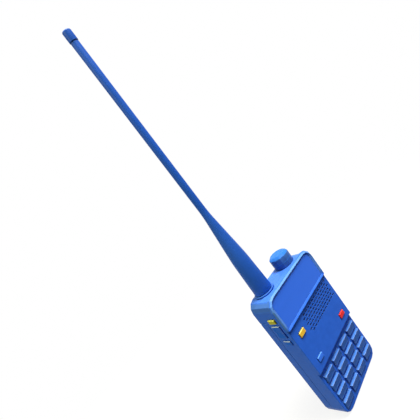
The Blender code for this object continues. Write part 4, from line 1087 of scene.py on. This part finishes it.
@dataclass
class Keypad:
    """Sixteen keys with a long upper bevel, a dished face and a head that sinks towards its lower end."""

    rows: int = 4
    columns: int = 4
    stand: float = 2.0 * MM
    wall: float = 1.6 * MM
    bevel: float = 0.36 * MM
    top_bevel: float = 0.95 * MM
    top_start: float = 0.0
    ledge: float = 0.35 * MM
    tilt: float = 0.5
    foot: float = 0.2 * MM
    foot_depth: float = 0.05 * MM

    def build(self, finishes: Finishes) -> Iterable[bpy.types.Object]:
        """Make every key.

        Args:
            finishes: the handset's finishes.

        Returns:
            The keys, row by row.
        """
        for row in range(1, self.rows + 1):
            for column in range(1, self.columns + 1):
                key = Plunger(f"key_r{row}_c{column}", Facing.FRONT, self.stand, self.wall, self.bevel,
                              self.top_bevel, Face.DISHED, top_start=self.top_start, tilt=self.tilt,
                              ledge=self.ledge, foot=self.foot, foot_depth=self.foot_depth)
                yield key.build(finishes.get("key_blue"), "key_blue")


@dataclass
class FrontButtons:
    """Three small buttons on the speaker panel."""

    stand: float = 0.8 * MM
    wall: float = 1.6 * MM
    bevel: float = 0.25 * MM
    corner: float = 0.3 * MM
    slots: dict[str, str] = field(default_factory=lambda: {
        "yellow_button": "yellow", "blue_button": "light_blue", "red_button": "red"})

    def build(self, finishes: Finishes) -> Iterable[bpy.types.Object]:
        """Make every front button.

        Args:
            finishes: the handset's finishes.

        Returns:
            The buttons.
        """
        for node, slot in self.slots.items():
            button = Plunger(node, Facing.FRONT, self.stand, self.wall, self.bevel, self.bevel, Face.CROWNED,
                             corner=self.corner)
            yield button.build(finishes.get(slot), slot)


@dataclass
class SideButtons:
    """Call, talk and monitor buttons on the left side, with a wider bevel above."""

    wall: float = 2.0 * MM
    bevel: float = 0.3 * MM
    top_bevel: float = 0.42 * MM
    top_start: float = 0.45
    lowest: float = 0.6
    foot: float = 0.0
    stands: dict[str, float] = field(default_factory=lambda: {
        "call_button": 1.1 * MM, "ptt_button": 1.1 * MM, "monitor_button": 0.9 * MM})
    looks: dict[str, tuple[str, str, Face]] = field(default_factory=lambda: {
        "call_button": ("lime", "yellow", Face.CROWNED),
        "ptt_button": ("side_blue", "key_blue", Face.DISHED),
        "monitor_button": ("side_blue", "body_blue", Face.CROWNED)})

    def build(self, finishes: Finishes) -> Iterable[bpy.types.Object]:
        """Make every side button.

        Args:
            finishes: the handset's finishes.

        Returns:
            The buttons, from the top down.
        """
        for node, stand in self.stands.items():
            look, slot, face = self.looks[node]
            button = Plunger(node, Facing.LEFT, stand, self.wall, self.bevel, self.top_bevel, face,
                             top_start=self.top_start, lowest=self.lowest, foot=self.foot)
            yield button.build(finishes.get(look), slot)


@dataclass
class Antenna:
    """Collar on the top face, tapered whip and its cap, all turned."""

    sides: int = 64
    edge_steps: int = 4
    collar_round: float = 0.3 * MM
    collar_break: float = 0.1 * MM
    collar_hole: float = 3.3 * MM
    stud_hole: float = 2.0 * MM
    stud_depth: float = 9.3 * MM
    foot_round: float = 0.35 * MM
    shoulder_radius: float = 5.9 * MM
    shoulder_rise: float = 28.5 * MM
    neck_rise: float = 65.5 * MM
    rod_radius: float = 2.5 * MM
    rod_steps: int = 3
    bend: float = 5.0 * MM
    bend_steps: int = 6
    tenon_radius: float = 1.5 * MM
    tenon_length: float = 4.0 * MM
    whip_crisp: float = 40.0
    cap_round: float = 0.9 * MM
    cap_steps: int = 6
    cap_break: float = 0.15 * MM
    cap_hole: float = 1.8 * MM
    cap_hole_depth: float = 4.0 * MM

    def collar(self, radius: float, height: float) -> Outline:
        """Draw the flat ring under the whip.

        Args:
            radius: its outer radius.
            height: its height.

        Returns:
            (radius, height) points from its hole, up its outside and back to its hole.
        """
        edge = self.collar_round
        return [(self.collar_hole, 0.0), (radius - self.collar_break, 0.0), (radius, self.collar_break),
                *arc((radius - edge, height - edge), edge, 0, 90, self.edge_steps),
                (self.collar_hole, height)]

    def whip(self, radius: float, height: float) -> Outline:
        """Draw the tapered whip.

        Args:
            radius: radius of its foot.
            height: height of its tenon's end.

        Returns:
            (radius, height) points from inside the stud's hole to the tenon's end.
        """
        edge = self.foot_round
        rod_top = height - self.tenon_length
        points = [(self.stud_hole, self.stud_depth), (self.stud_hole, 0.0)]
        points += arc((radius - edge, edge), edge, -90, 0, self.edge_steps)
        corners = [(radius, edge), (self.shoulder_radius, self.shoulder_rise),
                   (self.rod_radius, self.neck_rise), (self.rod_radius, rod_top - edge)]
        for before, corner, after in zip(corners, corners[1:], corners[2:]):
            points += self.eased(Vector(before), Vector(corner), Vector(after))
        points += arc((self.rod_radius - edge, rod_top - edge), edge, 0, 90, self.rod_steps)
        return points + [(self.tenon_radius, rod_top), (self.tenon_radius, height)]

    def eased(self, before: Vector, corner: Vector, after: Vector) -> Outline:
        """Round one bend of the whip.

        Args:
            before: the bend before it.
            corner: the bend to round.
            after: the bend after it.

        Returns:
            Points on the curve through the bend.
        """
        start = corner + (before - corner).normalized() * self.bend
        end = corner + (after - corner).normalized() * self.bend
        shares = [step / self.bend_steps for step in range(self.bend_steps + 1)]
        curve = [start.lerp(corner, share).lerp(corner.lerp(end, share), share) for share in shares]
        return [point.to_tuple() for point in curve]

    def cap(self, radius: float, height: float) -> Outline:
        """Draw the round-topped cap on the whip's tenon.

        Args:
            radius: its outer radius.
            height: its height.

        Returns:
            (radius, height) points from inside its hole to its top.
        """
        edge = self.cap_round
        return [(self.cap_hole, self.cap_hole_depth), (self.cap_hole, 0.0), (radius - self.cap_break, 0.0),
                (radius, self.cap_break), *arc((radius - edge, height - edge), edge, 0, 90, self.cap_steps)]

    def build(self, finishes: Finishes) -> Iterable[bpy.types.Object]:
        """Make the antenna's pieces.

        Args:
            finishes: the handset's finishes.

        Returns:
            The collar, whip and cap.
        """
        pieces = (("antenna_collar", "ring", self.collar, "housing", "body_blue", CRISP_ANGLE),
                  ("antenna_whip", "sleeve", self.whip, "antenna", "antenna_blue", self.whip_crisp),
                  ("antenna_cap", "tip", self.cap, "antenna", "antenna_blue", CRISP_ANGLE))
        for node, form, draw, body, slot, crisp in pieces:
            foot, radius, height = footing(node)
            mesh = turned(draw(radius, height), self.sides, closed=draw == self.collar)
            piece = make_piece(f"{node}_{form}", mesh, foot, finishes.get("antenna_blue"), crisp)
            yield seat(piece, body, node, slot)


@dataclass
class VolumeKnob:
    """Twelve-sided knob with eased edges, a fine bead at its waist and a bevelled crown."""

    facets: int = 12
    corner: float = 0.4 * MM
    corner_steps: int = 3
    waist: float = 3.7 * MM
    bead: float = 0.12 * MM
    bead_height: float = 0.4 * MM
    chamfer: float = 1.7 * MM
    crown_radius: float = 5.9 * MM
    crown_drop: float = 0.16 * MM
    ease: float = 0.2 * MM
    shoulder_in: float = 0.07 * MM
    shoulder_up: float = 0.06 * MM
    drop: float = 0.15 * MM
    bush_hole: float = 3.7 * MM
    bush_depth: float = 0.8 * MM
    shaft_hole: float = 2.5 * MM
    shaft_depth: float = 8.3 * MM
    crisp: float = 20.0

    def outline(self, radius: float) -> Outline:
        """Draw the faceted outline.

        Args:
            radius: distance from the axis to a sharp corner.

        Returns:
            The outline with its corners rounded.
        """
        turn = math.pi / self.facets
        round_middle = radius - self.corner / math.cos(turn)
        points = []
        for facet in range(self.facets):
            ahead = math.tau * (facet + 0.5) / self.facets
            middle = (round_middle * math.cos(ahead), round_middle * math.sin(ahead))
            points += arc(middle, self.corner, math.degrees(ahead - turn), math.degrees(ahead + turn),
                          self.corner_steps)
        return points

    def levels(self, radius: float, height: float) -> Outline:
        """List the knob's levels.

        Args:
            radius: distance from the axis to a sharp corner.
            height: height of the knob.

        Returns:
            (radius, height) from the end of the shaft's hole, up the outside and to the crown.
        """
        side = height - self.chamfer
        half = self.bead_height / 2
        return [(self.shaft_hole, self.shaft_depth), (self.shaft_hole, self.bush_depth),
                (self.bush_hole, self.bush_depth), (self.bush_hole, -self.drop),
                (radius - self.ease, -self.drop), (radius, self.ease - self.drop),
                (radius, self.waist - half), (radius + self.bead, self.waist), (radius, self.waist + half),
                (radius, side - self.ease), (radius - self.shoulder_in, side + self.shoulder_up),
                (self.crown_radius + self.ease, height - self.crown_drop),
                (self.crown_radius - self.ease, height)]

    def build(self, finishes: Finishes) -> Iterable[bpy.types.Object]:
        """Make the knob.

        Args:
            finishes: the handset's finishes.

        Returns:
            The knob, riding on the volume control.
        """
        foot, flat_radius, height = footing("volume_knob")
        levels = self.levels(flat_radius / math.cos(math.pi / self.facets), height)
        mesh = loft([level(self.outline(reach), rise) for reach, rise in levels])
        piece = make_piece("volume_knob_grip", mesh, foot, finishes.get("knob_blue"), self.crisp)
        return [seat(piece, "volume", "volume_knob", "body_blue")]


@dataclass
class DisplayWindow:
    """Plain pane set in the bezel's pocket, close to its bevel all round."""

    upper_corner: float = 3.35 * MM
    lower_corner: float = 0.75 * MM
    corner_steps: int = 3
    spread: float = 0.22 * MM
    ease: float = 0.08 * MM
    ease_middle: float = 0.024 * MM
    margin: float = 0.25 * MM

    def build(self, finishes: Finishes) -> Iterable[bpy.types.Object]:
        """Make the pane.

        Args:
            finishes: the handset's finishes.

        Returns:
            The pane, riding on the housing.
        """
        low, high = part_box("display_window")
        levels = ((0.0, high.y), (0.0, low.y + self.ease), (self.ease_middle, low.y + self.ease_middle),
                  (self.ease, low.y), (self.ease + self.margin, low.y))
        sections = []
        for drawn_in, y in levels:
            inset = drawn_in - self.spread
            outline = rounded_box(low.x + inset, high.x - inset, low.z + inset, high.z - inset,
                                  self.lower_corner, self.corner_steps, self.upper_corner)
            sections.append(level(outline, -y))
        piece = make_piece("display_window_pane", loft(sections), FRONT_TURN, finishes.get("pane_blue"))
        return [seat(piece, "housing", "display_window", "pane_blue")]


@dataclass
class CarriedSolids:
    """Solids whose shape is right as it is, dressed by material slot."""

    slots: dict[str, tuple[str, ...]] = field(default_factory=lambda: {
        "body_blue": ("front_shell", "battery_case"),
        "black_plastic": ("back_plate", "battery_lid"),
        "speaker_cloth": ("grille_cloth",),
        "paper_cone": ("speaker_cone",),
        "circuit_board": ("main_board", "side_switch_board"),
        "membrane_rubber": ("key_membrane",),
        "steel": ("speaker_basket", "speaker_magnet", "microphone", "volume_control", "volume_shaft",
                  "case_screw_left", "case_screw_right"),
        "brass": ("antenna_socket", "antenna_stud", "battery_connector", "pack_terminals"),
        "display_glass": ("display_module",),
        "cell_can": ("battery_cell",)})

    def build(self, nodes: dict[str, bpy.types.Object], finishes: Finishes) -> Iterable[bpy.types.Object]:
        """Dress every solid that stays.

        Args:
            nodes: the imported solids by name.
            finishes: the handset's finishes.

        Returns:
            The dressed solids.
        """
        for slot, names in self.slots.items():
            for name in names:
                solid = nodes[name]
                solid.data.materials.clear()
                solid.data.materials.append(finishes.get(slot))
                yield solid


def looking(place: Vector, target: Vector) -> Matrix:
    """Stand something at a place so that it looks at a target, with its top up."""
    turn = (target - place).to_track_quat("-Z", "Y").to_matrix().to_4x4()
    return Matrix.Translation(place) @ turn


@dataclass(frozen=True)
class Lamp:
    """Soft square lamp."""

    name: str
    place: Triple
    side: float
    power: float
    colour: Triple
    mirrored: bool = True

    def hang(self, target: Vector) -> None:
        """Hang the lamp.

        Args:
            target: what it points at.
        """
        data = bpy.data.lights.new(self.name, "AREA")
        data.shape = "SQUARE"
        data.size = self.side
        data.energy = self.power
        data.color = self.colour
        lamp = link(self.name, data)
        lamp.visible_glossy = self.mirrored
        lamp.matrix_world = looking(Vector(self.place), target)


@dataclass
class Studio:
    """Pale floor, white surround, camera, and three lamps: high in front, low behind, warm at the left."""

    eye: Vector = field(default_factory=lambda: Vector((-148.76, -185.60, 206.87)) * MM)
    aim: Vector = field(default_factory=lambda: Vector((15.37, 0.0, 152.83)) * MM)
    roll: float = 36.01
    lens: float = 30.557
    sensor: float = 36.0
    shift: tuple[float, float] = (-0.0990, 0.0087)
    nearest: float = 10.0 * MM
    lit: Vector = field(default_factory=lambda: Vector((0.0, 0.0, 0.08)))
    lamps: tuple[Lamp, ...] = (
        Lamp("key", (0.46, -0.82, 2.27), 1.0, 103.0, (1.0, 0.98, 0.92)),
        Lamp("rim", (0.5, 0.95, 0.35), 0.8, 6.5, (1.0, 0.97, 0.9), mirrored=False),
        Lamp("left", (-2.26, 0.3, 1.7), 1.4, 44.0, (1.0, 0.95, 0.63)))
    surround_light: Colour = (0.06, 0.07, 0.09, 1.0)
    floor_half: float = 3.0
    floor_drop: float = 0.2 * MM
    floor_bounce: Colour = (0.12, 0.12, 0.12, 1.0)
    floor_roughness: float = 0.9
    floor_shown: Colour = (0.8, 0.8, 0.8, 1.0)
    glow_reach: Range = (0.15, 0.45)
    glow_share: float = 0.85

    def camera(self) -> None:
        """Put the camera at the photograph's place."""
        data = bpy.data.cameras.new("camera")
        data.sensor_width = self.sensor
        data.lens = self.lens
        data.shift_x, data.shift_y = self.shift
        data.clip_start = self.nearest
        camera = link("camera", data)
        camera.matrix_world = looking(self.eye, self.aim) @ Matrix.Rotation(math.radians(-self.roll), 4, "Z")
        bpy.context.scene.camera = camera

    def seen(self, graph: Graph) -> Socket:
        """Tell the rays that show a surface from those that only light others.

        Args:
            graph: the nodes to add to.

        Returns:
            1 for a ray from the camera, a gloss or a clear surface, else 0.
        """
        path = graph.add("ShaderNodeLightPath").outputs
        shown = graph.larger(path["Is Camera Ray"], path["Is Glossy Ray"])
        return graph.larger(shown, path["Is Transmission Ray"])

    def surround(self) -> None:
        """Make a surround that is white to look at and lights the handset dimly and evenly."""
        world = bpy.data.worlds.new("surround")
        bpy.context.scene.world = world
        world.use_nodes = True
        graph = Graph(world.node_tree)
        light = graph.tree.nodes["Background"]
        graph.feed(light, {"Color": self.surround_light})
        white = graph.add("ShaderNodeBackground", {"Color": WHITE})
        choice = graph.add("ShaderNodeMixShader", {
            0: self.seen(graph), 1: light.outputs[0], 2: white.outputs[0]})
        graph.feed(graph.tree.nodes["World Output"], {"Surface": choice.outputs[0]})

    def floor_finish(self) -> bpy.types.Material:
        """Make a floor that shows white, keeps a soft shadow and throws little light back.

        Returns:
            The floor's material.
        """
        graph = Dressing("pale_floor")
        away = graph.add("ShaderNodeVectorMath", {0: graph.place}, operation="LENGTH").outputs["Value"]
        matt = graph.add("ShaderNodeBsdfDiffuse", {"Color": self.floor_shown})
        glow = graph.add("ShaderNodeEmission")
        glowing = graph.span(away, self.glow_reach, (self.glow_share, 1.0))
        shown = graph.add("ShaderNodeMixShader", {0: glowing, 1: matt.outputs[0], 2: glow.outputs[0]})
        choice = graph.add("ShaderNodeMixShader", {
            0: self.seen(graph), 1: graph.shader.outputs[0], 2: shown.outputs[0]})
        graph.feed(graph.tree.nodes["Material Output"], {"Surface": choice.outputs[0]})
        return graph.finish({
            "Base Color": self.floor_bounce, "Roughness": self.floor_roughness, "Specular IOR Level": 0.0})

    def floor(self) -> None:
        """Lay the floor just under the handset."""
        half = self.floor_half
        mesh = bmesh.new()
        corners = ((-half, -half), (half, -half), (half, half), (-half, half))
        mesh.faces.new([mesh.verts.new((x, y, -self.floor_drop)) for x, y in corners])
        data = bpy.data.meshes.new("floor")
        mesh.to_mesh(data)
        mesh.free()
        data.materials.append(self.floor_finish())
        link("floor", data)

    def build(self) -> None:
        """Set the stage."""
        bpy.context.scene.view_settings.view_transform = "Standard"
        self.camera()
        for lamp in self.lamps:
            lamp.hang(self.lit)
        self.surround()
        self.floor()


def main() -> None:
    """Load the solids, build every sub-assembly around them and set the stage."""
    logging.basicConfig(level=logging.INFO, format="%(name)s: %(message)s")
    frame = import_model()
    finishes = Finishes()
    for assembly in (DisplayWindow(), Keypad(), FrontButtons(), SideButtons(), Antenna(), VolumeKnob()):
        for piece in assembly.build(finishes):
            LOG.info("%s: %s", type(assembly).__name__, piece.name)
    for solid in CarriedSolids().build(frame["nodes"], finishes):
        LOG.info("dressed %s", solid.name)
    Studio().build()


if __name__ == "__main__":
    main()
